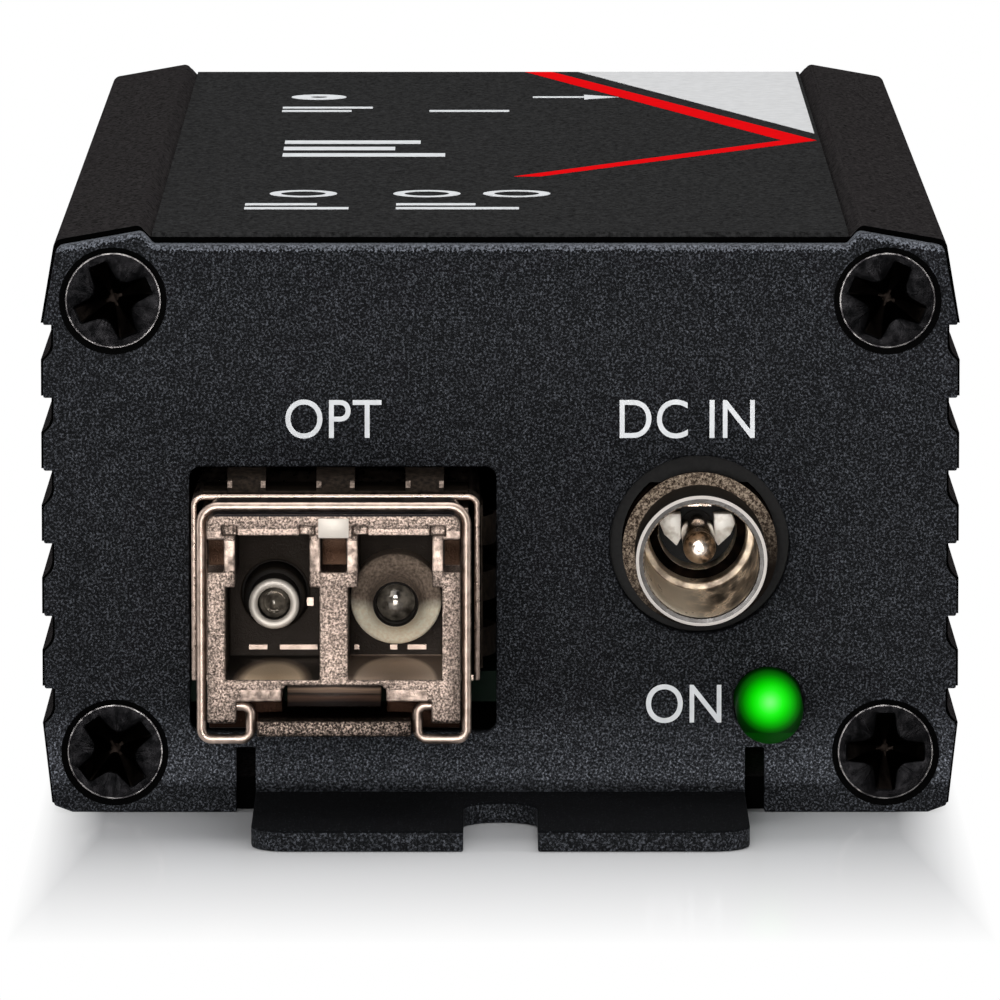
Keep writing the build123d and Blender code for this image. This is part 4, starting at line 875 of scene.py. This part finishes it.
PRINT = {"noise": (0.6, 2.0), "low": (0.30, 0.92), "high": (0.70, 1.04), "depth": 0, "shine": 0.0}
FINISH_MAKERS = {
    "coat": make_coat,
    "anodised": make_anodised,
    "film": plain(
        ("film", 1), "label_film", 0.65, noise=(0.24, 2.5, 0.8), low=(0.36, 0.45), high=(0.64, 1.7), depth=0.006,
        strength=0.4, shine=0.0,
    ),
    "legend": plain(("legend", 1), "legend_ink", 0.65, **PRINT),
    "stripe": plain(("stripe", 1), "stripe_ink", 0.65, **PRINT),
    "wedge": plain(("wedge", 1), "wedge_ink", 0.65, **PRINT),
    "screw": make_screw_steel,
    "cast": make_cast,
    "slider": make_slider,
    "polished": plain(
        ("warm_metal", 1.15), "polished_steel", 0.36, 1.0, (0.5, 2.0), (0.30, 0.65), (0.70, 1.15), strength=0.5,
        rough=(0.32, 0.46),
    ),
    "cage": plain(
        ("warm_metal", 0.9), "cage_metal", 0.28, 1.0, (0.35, 3.0, 0.55, (1, 0.2, 1)), (0.30, 0.6), (0.70, 1.2), 0.012,
        rough=(0.22, 0.40),
    ),
    "fingers": make_fingers,
    "barrel": make_barrel,
    "flange": make_flange,
    "bell": make_bell,
    "nickel": make_nickel,
    "lining": make_lining,
    "leaf": make_leaf,
    "tube": make_tube,
    "collar": make_collar,
    "lamp": make_lamp,
    "lens": make_lens,
    "board": plain((0.0012, 0.0055, 0.0026), "board_laminate", 0.6, 0, (0.5, 2.0), depth=0.005, shine=0.05),
    "moulding": plain((0.010, 0.0095, 0.009), "black_moulding", 0.5, shine=0.1),
    "chip": plain((0.018, 0.018, 0.020), "chip_resin", 0.5, 0, (0.1, 2.0)),
    "gold": plain((0.80, 0.56, 0.22), "gold_contact", 0.2, 1.0, (0.3, 2.0), depth=0.003),
    "insulator": plain((0.78, 0.77, 0.73), "white_insulator", 0.4, 0, (0.4, 2.0), (0.30, 0.95), (0.70, 1.05)),
    "ceramic": plain((0.40, 0.31, 0.22), "chip_ceramic", 0.4, 0, (0.1, 2.0), depth=0.004),
    "ferrite": plain((0.08, 0.08, 0.08), "ferrite", 0.6, 0, (0.15, 2.0), depth=0.02),
    "can": plain((0.72, 0.72, 0.74), "can_aluminium", 0.25, 1.0, (0.3, 2.0), (0.30, 0.9), (0.70, 1.1), 0.004),
    "tin": plain((0.60, 0.60, 0.58), "tinned_lead", 0.3, 1.0, (0.2, 2.0), (0.30, 0.9), (0.70, 1.1), 0.004),
}


# Pieces


class CONVERTER_OT_body(bpy.types.Operator):
    """Dress the extruded body and the two bent end panels."""

    bl_idname = "converter.body"
    bl_label = "Body and panels"

    def execute(self, context):
        edge = context.scene.converter_sizes.edge
        dressed_copy(
            "body_extrusion", "ribbed_body", finish("anodised"), "enclosure", grooves=RIB_X
        )
        for node, name in (("front_panel", "front_plate"), ("rear_panel", "rear_plate")):
            dressed_copy(node, name, finish("coat"), "enclosure", edge, grooves=PANEL_RIB_X)
        return {"FINISHED"}


class CONVERTER_OT_screws(bpy.types.Operator):
    """Dress the countersunk screws."""

    bl_idname = "converter.screws"
    bl_label = "Panel screws"

    def execute(self, context):
        steps = context.scene.converter_sizes.turn_steps
        pattern = turned(
            "screw_pattern",
            (0, 0, 0),
            ((7.0, 0), (7.0, 1.25), (1.275, 1.25), (0.07, 2.495), (0.03, 2.515), (0.005, 2.48), (0, 2.42), (0, 0)),
            steps,
        )
        cutter = self.cross_cutter()
        cut = pattern.modifiers.new("recess", "BOOLEAN")
        cut.object = cutter
        cut.solver = "EXACT"
        apply_modifiers(pattern)
        settle(pattern)
        bpy.data.objects.remove(cutter)
        break_edges(pattern, 0.06 * MM, 50)
        smooth(pattern, 30)
        sets = (
            ("front_screws", "front_screw_heads", 0, (23, -23, 0, 37)),
            ("rear_screws", "rear_screw_heads", 180, (10, 52, -31, 5)),
        )
        places = ((-1, SCREW_HIGH), (1, SCREW_HIGH), (1, SCREW_LOW), (-1, SCREW_LOW))
        for node, name, facing, turns in sets:
            low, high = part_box(node)
            face = low.y if facing == 0 else high.y
            heads = []
            for (side, height), turn in zip(places, turns):
                pick(pattern)
                bpy.ops.object.duplicate()
                head = context.active_object
                head.rotation_euler = (0, -math.radians(turn), math.radians(facing))
                head.location = (side * SCREW_X, face, height)
                settle(head)
                heads.append(head)
            hand_over(join(name, heads), finish("screw"), "enclosure", (node,))
        bpy.data.objects.remove(pattern)
        return {"FINISHED"}

    def cross_cutter(self):
        """A wide cross with curved webs that narrows inwards."""
        reach, web, web_centre = 2.05, 0.72, 1.27
        arm = [
            (web_centre - web * math.sin(math.radians(turn)), web_centre - web * math.cos(math.radians(turn)))
            for turn in (45, 33, 22, 11, 0)
        ]
        arm += [(reach - 0.08, 0.47), (reach, 0.38)]
        arm += [(x, -z) for x, z in reversed(arm[1:])]
        outline = []
        for quarter in range(4):
            cosine, sine = math.cos(quarter * math.pi / 2), math.sin(quarter * math.pi / 2)
            outline += [(x * cosine + z * sine, z * cosine - x * sine) for x, z in arm]
        cutter = trace("cross_cutter", [(x * MM, -0.2 * MM, z * MM) for x, z in outline], closed=True)
        for depth, size in ((0.2, 1.0), (0.9, 0.62), (0.5, 0.35)):
            bpy.ops.mesh.extrude_region_move(TRANSFORM_OT_translate={"value": (0, depth * MM, 0)})
            bpy.ops.transform.resize(value=(size, 1, size), center_override=(0, 0, 0))
        close_edit()
        return cutter


class CONVERTER_OT_label(bpy.types.Operator):
    """Finish the label film and lay its generic print on it."""

    bl_idname = "converter.label"
    bl_label = "Top label"

    def execute(self, context):
        ink = context.scene.converter_sizes.print_height
        film = frame["nodes"]["top_label"]
        film.data.materials.clear()
        film.data.materials.append(finish("film"))
        top = LABEL_HIGH.z

        def flat(name, corners):
            return plate(name, [(x * MM, y * MM, top) for x, y in corners], ink, (0, 0, 1))

        edge_x, edge_y = LABEL_HIGH.x / MM - 0.2, LABEL_HIGH.y / MM - 0.2
        fields = {
            "wedge": ((13, 0), (0, 38), (0, 0)),
            "stripe": ((14.6, 0), (16.2, 0), (1.9, 42), (17, 62), (15.6, 62), (0, 42)),
        }
        for name, corners in fields.items():
            field = flat(name + "_field", [(edge_x - x, edge_y - y) for x, y in corners])
            hand_over(field, finish(name), "enclosure")
        rows = (
            (-13.5, -34.0, 5.5, 1.0),
            (-13.5, -32.0, 3.8, 1.0),
            (-5.5, -34.0, 6.5, 1.0),
            (-5.5, -32.0, 4.2, 1.0),
            (-12.0, -6.0, 9.0, 1.8),
            (-12.0, -2.4, 6.2, 1.8),
            (-12.0, 1.2, 7.6, 1.8),
            (-12.5, 20.0, 4.0, 1.0),
            (-12.5, 22.0, 5.2, 1.0),
            (-4.0, 20.0, 4.6, 1.0),
        )
        bars = []
        for number, (x, y, width, height) in enumerate(rows):
            corners = ((x, y), (x + width, y), (x + width, y + height), (x, y + height))
            bars.append(flat(f"bar_{number}", corners))
        hand_over(join("print_bars", bars), finish("legend"), "enclosure")
        signs = []
        for number, (x, y, radius, hole) in enumerate(
            ((-10.5, -26.0, 1.8, 1.2), (-3.9, -26.0, 1.8, 1.2), (0.9, -26.0, 1.8, 1.2), (-10.5, 29.0, 1.6, 0.5))
        ):
            deselect()
            bpy.ops.mesh.primitive_circle_add(
                vertices=48, radius=radius * MM, fill_type="NGON", location=(x * MM, y * MM, top)
            )
            ring = context.active_object
            ring.name = f"ring_{number}"
            bpy.ops.object.mode_set(mode="EDIT")
            select_all()
            bpy.ops.mesh.inset(thickness=(radius - hole) * MM)
            bpy.ops.mesh.delete(type="FACE")
            select_all()
            bpy.ops.mesh.extrude_region_move(TRANSFORM_OT_translate={"value": (0, 0, ink)})
            close_edit()
            signs.append(ring)
        arrow = ((2.0, 28.6), (5.0, 28.6), (5.0, 27.6), (7.0, 29.0), (5.0, 30.4), (5.0, 29.4), (2.0, 29.4))
        signs.append(flat("arrow", arrow))
        hand_over(join("print_signs", signs), finish("legend"), "enclosure")
        return {"FINISHED"}


class CONVERTER_OT_legends(bpy.types.Operator):
    """Print plain generic words on the front panel."""

    bl_idname = "converter.legends"
    bl_label = "Panel legends"

    def execute(self, context):
        sizes = context.scene.converter_sizes
        words = (("OPT", -8.66, 19.58), ("DC IN", 9.66, 19.58), ("ON", 9.55, 4.70))
        for number, (word, middle, base) in enumerate(words):
            deselect()
            bpy.ops.object.text_add(
                location=(middle * MM, PANEL_FACE, base * MM), rotation=(math.radians(90), 0, 0)
            )
            text = context.active_object
            text.data.body = word
            text.data.align_x = "CENTER"
            text.data.size = sizes.letter / 0.69
            text.data.space_character = 1.03
            text.data.extrude = sizes.print_height / 2
            bpy.ops.object.convert(target="MESH")
            piece = context.active_object
            piece.name = f"legend_{number}"
            bpy.ops.transform.resize(value=(0.90, 1, 1), center_override=(middle * MM, 0, 0))
            hand_over(piece, finish("legend"), "enclosure")
        return {"FINISHED"}


class CONVERTER_OT_cage(bpy.types.Operator):
    """Dress the cage and its spring strips."""

    bl_idname = "converter.cage"
    bl_label = "Transceiver cage"

    def execute(self, context):
        for node, name, metal, width, slot in (
            ("cage_shell", "cage_sleeve", "cage", 0.07, "cage_metal"),
            ("roof_fingers", "roof_spring_strip", "fingers", 0.03, "spring_metal"),
            ("side_fingers", "side_spring_strip", "fingers", 0.03, "spring_metal"),
        ):
            dressed_copy(node, name, finish(metal), "enclosure", width * MM)
        return {"FINISHED"}


class CONVERTER_OT_transceiver(bpy.types.Operator):
    """Dress the transceiver: casting, barrels, lens and slider."""

    bl_idname = "converter.transceiver"
    bl_label = "Transceiver"

    def execute(self, context):
        steps = context.scene.converter_sizes.turn_steps
        dressed_copy("transceiver_housing", "cast_nose", finish("cast"), "transceiver", 0.09 * MM)
        dressed_copy("transceiver_cover", "module_cover", finish("cage"), "transceiver", 0.05 * MM)
        dressed_copy("release_slider", "release_plate", finish("slider"), "release", 0.05 * MM)
        face, back, clip = NOSE_FACE, NOSE_FACE + 8.24 * MM, 0.28 * MM
        tooth = box_piece(
            "latch_tooth",
            (CAGE_X - 0.80 * MM, face - 0.04 * MM, 15.62 * MM),
            (CAGE_X + 0.80 * MM, face + 0.90 * MM, 16.66 * MM),
        )
        break_edges(tooth, 0.10 * MM)
        smooth(tooth)
        hand_over(tooth, finish("barrel"), "transceiver")
        rows = [(-1.50, -1.16, 11.00, 11.42)]
        for left, right in ((-4.49, -3.55), (-2.90, -0.96), (0.95, 1.20), (2.80, 3.17), (3.71, 4.67)):
            rows.append((left, right, 8.72, 8.97))
        clips = []
        for number, (left, right, low, high) in enumerate(rows):
            near, far = (CAGE_X + left * MM, back, low * MM), (CAGE_X + right * MM, back + clip, high * MM)
            clips.append(box_piece(f"clip_{number}", near, far))
        hand_over(join("port_floor_clips", clips), finish("polished"), "transceiver")
        profiles = {
            ("transmit_ring", "transmit_barrel", "barrel"): (
                (3.0, 0.82), (0.22, 0.84), (0.08, 0.88), (0.02, 0.96), (0.0, 1.10), (0.03, 1.22),
                (0.10, 1.28), (0.25, 1.31), (2.2, 1.31), (2.4, 1.29),
            ),
            ("transmit_flange", "transmit_barrel", "flange"): (
                (2.3, 1.28), (2.3, 1.50), (2.36, 1.58), (2.5, 1.62), (4.6, 1.62), (4.6, 2.40), (9.0, 2.40), (9.0, 0),
            ),
            ("transmit_lens", "transmit_barrel", "lens"): (
                (1.2, 0.82), (0.75, 0.80), (0.62, 0.72), (0.58, 0.60), (0.70, 0.50), (0.62, 0.36), (0.48, 0.20),
                (0.44, 0),
            ),
            ("receive_bell", "receive_barrel", "bell"): (
                (3.2, 1.00), (0.20, 1.02), (0.06, 1.05), (0.0, 1.10), (0.02, 1.16), (0.12, 1.20), (0.60, 1.26),
                (1.05, 1.38), (1.40, 1.58), (1.66, 1.86), (1.82, 2.12), (1.92, 2.28), (2.02, 2.34), (2.16, 2.36),
                (4.4, 2.36), (4.4, 1.70), (5.4, 1.70), (5.4, 2.40), (9.0, 2.40), (9.0, 0),
            ),
            ("receive_lens", "receive_barrel", "lens"): (
                (1.4, 1.00), (0.95, 0.98), (0.90, 0.90), (0.82, 0.72), (0.74, 0.50), (0.70, 0.28), (0.69, 0),
            ),
        }
        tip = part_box("transmit_barrel")[0].y
        for (name, node, metal), profile in profiles.items():
            piece = turned(name, middle(node), profile, steps, angle=50, start=tip)
            stands_for = (node,) if metal in ("flange", "bell") else ()
            hand_over(piece, finish(metal), "transceiver", stands_for)
        return {"FINISHED"}


class CONVERTER_OT_bail(bpy.types.Operator):
    """Bend the bail's round wire round the nose."""

    bl_idname = "converter.bail"
    bl_label = "Wire bail"

    def execute(self, context):
        radius = context.scene.converter_sizes.wire
        low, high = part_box("bail_latch")
        arm = high.x - radius - CAGE_X
        top, foot = high.z - radius, low.z + radius
        y = (low.y + high.y) / 2
        pivot = foot + 1.72 * MM
        inner, pin = arm - 2.50 * MM, arm - 1.00 * MM
        half = [(pin, pivot), (inner, pivot), (inner, foot), (arm, foot), (arm, top)]
        points = [(-x, z) for x, z in half] + [(x, z) for x, z in reversed(half)]
        piece = trace("wire_bail", [(CAGE_X + x, y, z) for x, z in points])
        bpy.ops.object.mode_set(mode="OBJECT")
        mesh = piece.data
        for wanted, bend in ((top, 0.85), (foot, 0.52), (pivot, 0.42)):
            bpy.ops.object.mode_set(mode="EDIT")
            bpy.ops.mesh.select_all(action="DESELECT")
            bpy.ops.object.mode_set(mode="OBJECT")
            centre = piece.location
            ends = (CAGE_X - pin, CAGE_X + pin)
            for vertex in mesh.vertices:
                place = vertex.co + centre
                free = any(abs(place.x - end) < 0.01 * MM for end in ends)
                vertex.select = abs(place.z - wanted) < 0.02 * MM and not free
            bpy.ops.object.mode_set(mode="EDIT")
            bpy.ops.mesh.bevel(offset=bend * MM, segments=8, affect="VERTICES")
            bpy.ops.object.mode_set(mode="OBJECT")
        pick(piece)
        bpy.ops.object.convert(target="CURVE")
        curve = bpy.context.active_object
        curve.data.bevel_depth = radius
        curve.data.bevel_resolution = 6
        curve.data.use_fill_caps = True
        bpy.ops.object.convert(target="MESH")
        piece = bpy.context.active_object
        smooth(piece, 60)
        hand_over(piece, finish("polished"), "bail", ("bail_latch",))
        return {"FINISHED"}


class CONVERTER_OT_jack(bpy.types.Operator):
    """Turn the power jack: dark threaded collar, plated tube with a stepped bore, and centre pin."""

    bl_idname = "converter.jack"
    bl_label = "Power jack"

    def execute(self, context):
        steps = context.scene.converter_sizes.turn_steps
        centre = (JACK_X, 0, JACK_Z)
        mouth = TUBE_LOW.y
        dressed_copy("jack_sleeve", "jack_collar", finish("collar"), "enclosure", 0.04 * MM)
        tube = turned(
            "jack_tube",
            centre,
            ((5.0, 3.37), (0.10, 3.37), (0.02, 3.36), (-0.01, 3.32), (-0.015, 3.21)),
            steps,
            start=mouth,
        )
        hand_over(tube, finish("tube"), "enclosure")
        lining = turned(
            "jack_lining",
            centre,
            (
                (-0.015, 3.21), (0.00, 3.00), (0.08, 2.94), (10.20, 2.92), (10.28, 2.88), (10.28, 2.62),
                (10.36, 2.56), (11.60, 2.52), (11.64, 2.30), (11.72, 2.04), (13.60, 2.00),
            ),
            steps,
            start=mouth,
        )
        hand_over(lining, finish("lining"), "enclosure")
        cheeks = []
        for side in (-1, 1):
            outline = ((0.86, -0.35), (1.08, -0.75), (1.73, -0.15), (1.98, 0.45), (1.80, 0.95), (0.86, 0.95))
            face = [(JACK_X + side * x * MM, mouth + 11.30 * MM, JACK_Z + z * MM) for x, z in outline]
            cheeks.append(plate(f"cheek_{side}", face, 1.2 * MM, (0, 1, 0)))
        leaves = join("jack_spring_leaves", cheeks)
        break_edges(leaves, 0.06 * MM)
        smooth(leaves)
        hand_over(leaves, finish("leaf"), "enclosure")
        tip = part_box("jack_pin")[0].y
        pin = turned(
            "jack_centre_pin",
            centre,
            (
                ((TUBE_HIGH.y - tip) / MM, 0.85), (0.62, 0.85), (0.36, 0.80), (0.14, 0.66), (0.03, 0.44),
                (0, 0.28), (0, 0.18), (0.25, 0.14), (0.25, 0),
            ),
            steps // 2,
            start=tip,
        )
        hand_over(pin, finish("nickel"), "enclosure", ("jack_pin",))
        return {"FINISHED"}


class CONVERTER_OT_lamp(bpy.types.Operator):
    """Turn the indicator lamp's domed lens."""

    bl_idname = "converter.lamp"
    bl_label = "Indicator lamp"

    def execute(self, context):
        steps = context.scene.converter_sizes.turn_steps
        radius, rim = 1.75, 0.6
        centre = middle("power_lamp")
        back, rim_radius = (LAMP_HIGH.y - LAMP_LOW.y) / MM, (LAMP_HIGH.z - centre[2]) / MM
        turns = [math.radians(turn) for turn in range(0, 91, 6)]
        dome = [(radius * (1 - math.sin(turn)), radius * math.cos(turn)) for turn in turns]
        profile = [(back, 0.0), (back, rim_radius), (back - rim, rim_radius), (back - rim, radius), *dome]
        piece = turned("lamp_lens", centre, profile, steps, start=LAMP_LOW.y)
        hand_over(piece, finish("lamp"), "enclosure", ("power_lamp",))
        return {"FINISHED"}


class CONVERTER_OT_coaxial(bpy.types.Operator):
    """Dress the two coaxial jacks at the rear, with threads between nut and barrel."""

    bl_idname = "converter.coaxial"
    bl_label = "Coaxial jacks"

    def execute(self, context):
        sizes = context.scene.converter_sizes
        for jack in ("input_jack", "loop_jack"):
            for part, metal, slot, width in (
                ("shell", "nickel", "nickel_plate", 0.06),
                ("nut", "nickel", "nickel_plate", 0.15),
                ("washer", "nickel", "nickel_plate", 0.08),
                ("insulator", "insulator", "white_insulator", 0.08),
                ("contact", "gold", "gold_contact", 0.04),
            ):
                name = f"{jack}_{part}"
                dressed_copy(name, name + "_dressed", finish(metal), "enclosure", width * MM)
            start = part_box(jack + "_nut")[1].y
            pitch = sizes.thread_pitch / MM
            thread = []
            for turn in range(3):
                y = 0.1 + turn * 0.8
                thread += [(y, 6.08), (y + pitch / 2, 6.30), (y + pitch, 6.08)]
            ridge = turned(jack + "_thread", middle(jack + "_shell"), thread, sizes.turn_steps, start=start)
            hand_over(ridge, finish("nickel"), "enclosure")
        return {"FINISHED"}


class CONVERTER_OT_inside(bpy.types.Operator):
    """Finish the pieces that are kept as they are inside the body."""

    bl_idname = "converter.inside"
    bl_label = "Inner pieces"

    def execute(self, context):
        kept = {
            "board": ("main_board", "transceiver_board"),
            "cage": ("cage_floor", "latch_tongue"),
            "moulding": ("host_connector", "jack_body", "lamp_holder", "input_jack_block", "loop_jack_block"),
            "gold": ("host_contacts",),
            "nickel": ("jack_contact", "crystal"),
            "tin": ("lamp_leads",),
            "chip": ("serializer_chip", "equalizer_chip", "regulator_chip"),
            "ferrite": ("power_inductor",),
            "can": ("bulk_capacitors",),
            "ceramic": ("chip_parts",),
        }
        for name, solids in kept.items():
            for node in solids:
                mesh = frame["nodes"][node].data
                mesh.materials.clear()
                mesh.materials.append(finish(name))
        return {"FINISHED"}


class CONVERTER_OT_stage(bpy.types.Operator):
    """Lay the floor, set the lamps and the sky, and place the camera."""

    bl_idname = "converter.stage"
    bl_label = "Stage"

    def execute(self, context):
        stage = context.scene.converter_stage
        deselect()
        bpy.ops.mesh.primitive_plane_add(size=8.0, location=(0, 2.0, -0.00002))
        floor = context.active_object
        floor.name = "floor"
        bpy.ops.object.transform_apply(location=True)
        made = Finish("pale_floor", (0.80, 0.80, 0.81), 0.12)
        made.set("IOR", 2.1)
        white = made.node("ShaderNodeEmission")
        white.inputs["Color"].default_value = (1, 1, 1, 1)
        ray = made.node("ShaderNodeLightPath")
        x, y, _ = made.axes()
        away = made.spread(abs(x), 0, 1, 0.0205, 0.0240) | made.spread(abs(y), 0, 1, 0.055, 0.087)
        shown = made.choose(away * ray.outputs["Is Camera Ray"], made.shader, white)
        made.link(shown.outputs[0], made.tree.nodes["Material Output"].inputs["Surface"])
        floor.data.materials.append(made.material)
        world = context.scene.world or bpy.data.worlds.new("studio")
        context.scene.world = world
        world.use_nodes = True
        world.node_tree.nodes.clear()
        made = Nodes(world.node_tree)

        def glow(colour, strength=1.0):
            shade = made.node("ShaderNodeBackground")
            shade.inputs["Color"].default_value = (*colour, 1)
            shade.inputs["Strength"].default_value = strength
            return shade

        split = made.node("ShaderNodeSeparateXYZ")
        made.link(made.node("ShaderNodeTexCoord").outputs["Generated"], split.inputs[0])
        mirrored = glow((1, 1, 1))
        greys = made.shades(split.outputs[2], (1, 1, 1), (0.0, 0.10), (0.30, 0.22), (0.75, 1))
        made.link(greys, mirrored.inputs["Color"])
        ray = made.node("ShaderNodeLightPath").outputs
        lit = made.choose(ray["Is Glossy Ray"], glow((0.95, 0.97, 1.0), stage.sky), mirrored)
        shown = made.choose(ray["Is Camera Ray"], lit, glow((1, 1, 1)))
        made.link(shown.outputs[0], made.node("ShaderNodeOutputWorld").inputs["Surface"])

        def lamp(name, place, target, size, power):
            deselect()
            bpy.ops.object.light_add(type="AREA", location=place)
            light = context.active_object
            light.name = name
            light.data.shape = "RECTANGLE"
            light.data.size, light.data.size_y = size
            light.data.energy = power
            aim = Vector(target) - Vector(place)
            light.rotation_euler = aim.to_track_quat("-Z", "Y").to_euler()

        lamp("key_lamp", (-0.16, -0.72, 0.24), (0, -0.05, 0.012), (0.34, 0.26), stage.key)
        lamp("fill_lamp", (-0.02, -0.62, 0.075), (0, -0.05, 0.015), (0.09, 0.09), stage.fill)
        lamp("top_lamp", (0.05, 0.05, 0.60), (0, 0, 0.02), (0.50, 0.50), stage.top)
        lamp("left_lamp", (-0.60, -0.10, 0.20), (0, 0, 0.02), (0.12, 0.40), stage.side)
        lamp("right_lamp", (0.60, -0.20, 0.22), (0, 0, 0.02), (0.12, 0.40), stage.side)
        deselect()
        bpy.ops.object.camera_add(
            location=stage.camera_place,
            rotation=(math.radians(90 - stage.camera_down), 0, math.radians(-stage.camera_right)),
        )
        camera = context.active_object
        camera.data.lens = stage.lens
        camera.data.sensor_width = 36.0
        camera.data.clip_start, camera.data.clip_end = 0.01, 50
        context.scene.camera = camera
        context.scene.view_settings.view_transform = "Standard"
        return {"FINISHED"}


class CONVERTER_PT_panel(bpy.types.Panel):
    """Lists the pieces in the sidebar."""

    bl_label = "Converter box"
    bl_idname = "CONVERTER_PT_panel"
    bl_space_type = "VIEW_3D"
    bl_region_type = "UI"
    bl_category = "Converter"

    def draw(self, context):
        for piece in PIECES:
            self.layout.operator(piece.bl_idname)
        for group in ("converter_colours", "converter_sizes", "converter_stage"):
            values = getattr(context.scene, group)
            for key in values.bl_rna.properties.keys():
                if key not in ("rna_type", "name"):
                    self.layout.prop(values, key)


PIECES = (
    CONVERTER_OT_body,
    CONVERTER_OT_screws,
    CONVERTER_OT_label,
    CONVERTER_OT_legends,
    CONVERTER_OT_cage,
    CONVERTER_OT_transceiver,
    CONVERTER_OT_bail,
    CONVERTER_OT_jack,
    CONVERTER_OT_lamp,
    CONVERTER_OT_coaxial,
    CONVERTER_OT_inside,
    CONVERTER_OT_stage,
)
GROUPS = (ConverterColours, ConverterSizes, ConverterStage)


def register():
    """Register the settings, the operators and the panel."""
    for each in (*GROUPS, *PIECES, CONVERTER_PT_panel):
        bpy.utils.register_class(each)
    bpy.types.Scene.converter_colours = PointerProperty(type=ConverterColours)
    bpy.types.Scene.converter_sizes = PointerProperty(type=ConverterSizes)
    bpy.types.Scene.converter_stage = PointerProperty(type=ConverterStage)


def unregister():
    """Take back what register() added."""
    del bpy.types.Scene.converter_stage
    del bpy.types.Scene.converter_sizes
    del bpy.types.Scene.converter_colours
    for each in reversed((*GROUPS, *PIECES, CONVERTER_PT_panel)):
        bpy.utils.unregister_class(each)


def main():
    """Make every piece."""
    register()
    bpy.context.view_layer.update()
    bpy.ops.converter.body()
    bpy.ops.converter.screws()
    bpy.ops.converter.label()
    bpy.ops.converter.legends()
    bpy.ops.converter.cage()
    bpy.ops.converter.transceiver()
    bpy.ops.converter.bail()
    bpy.ops.converter.jack()
    bpy.ops.converter.lamp()
    bpy.ops.converter.coaxial()
    bpy.ops.converter.inside()
    bpy.ops.converter.stage()
    deselect()


if __name__ == "__main__":
    main()
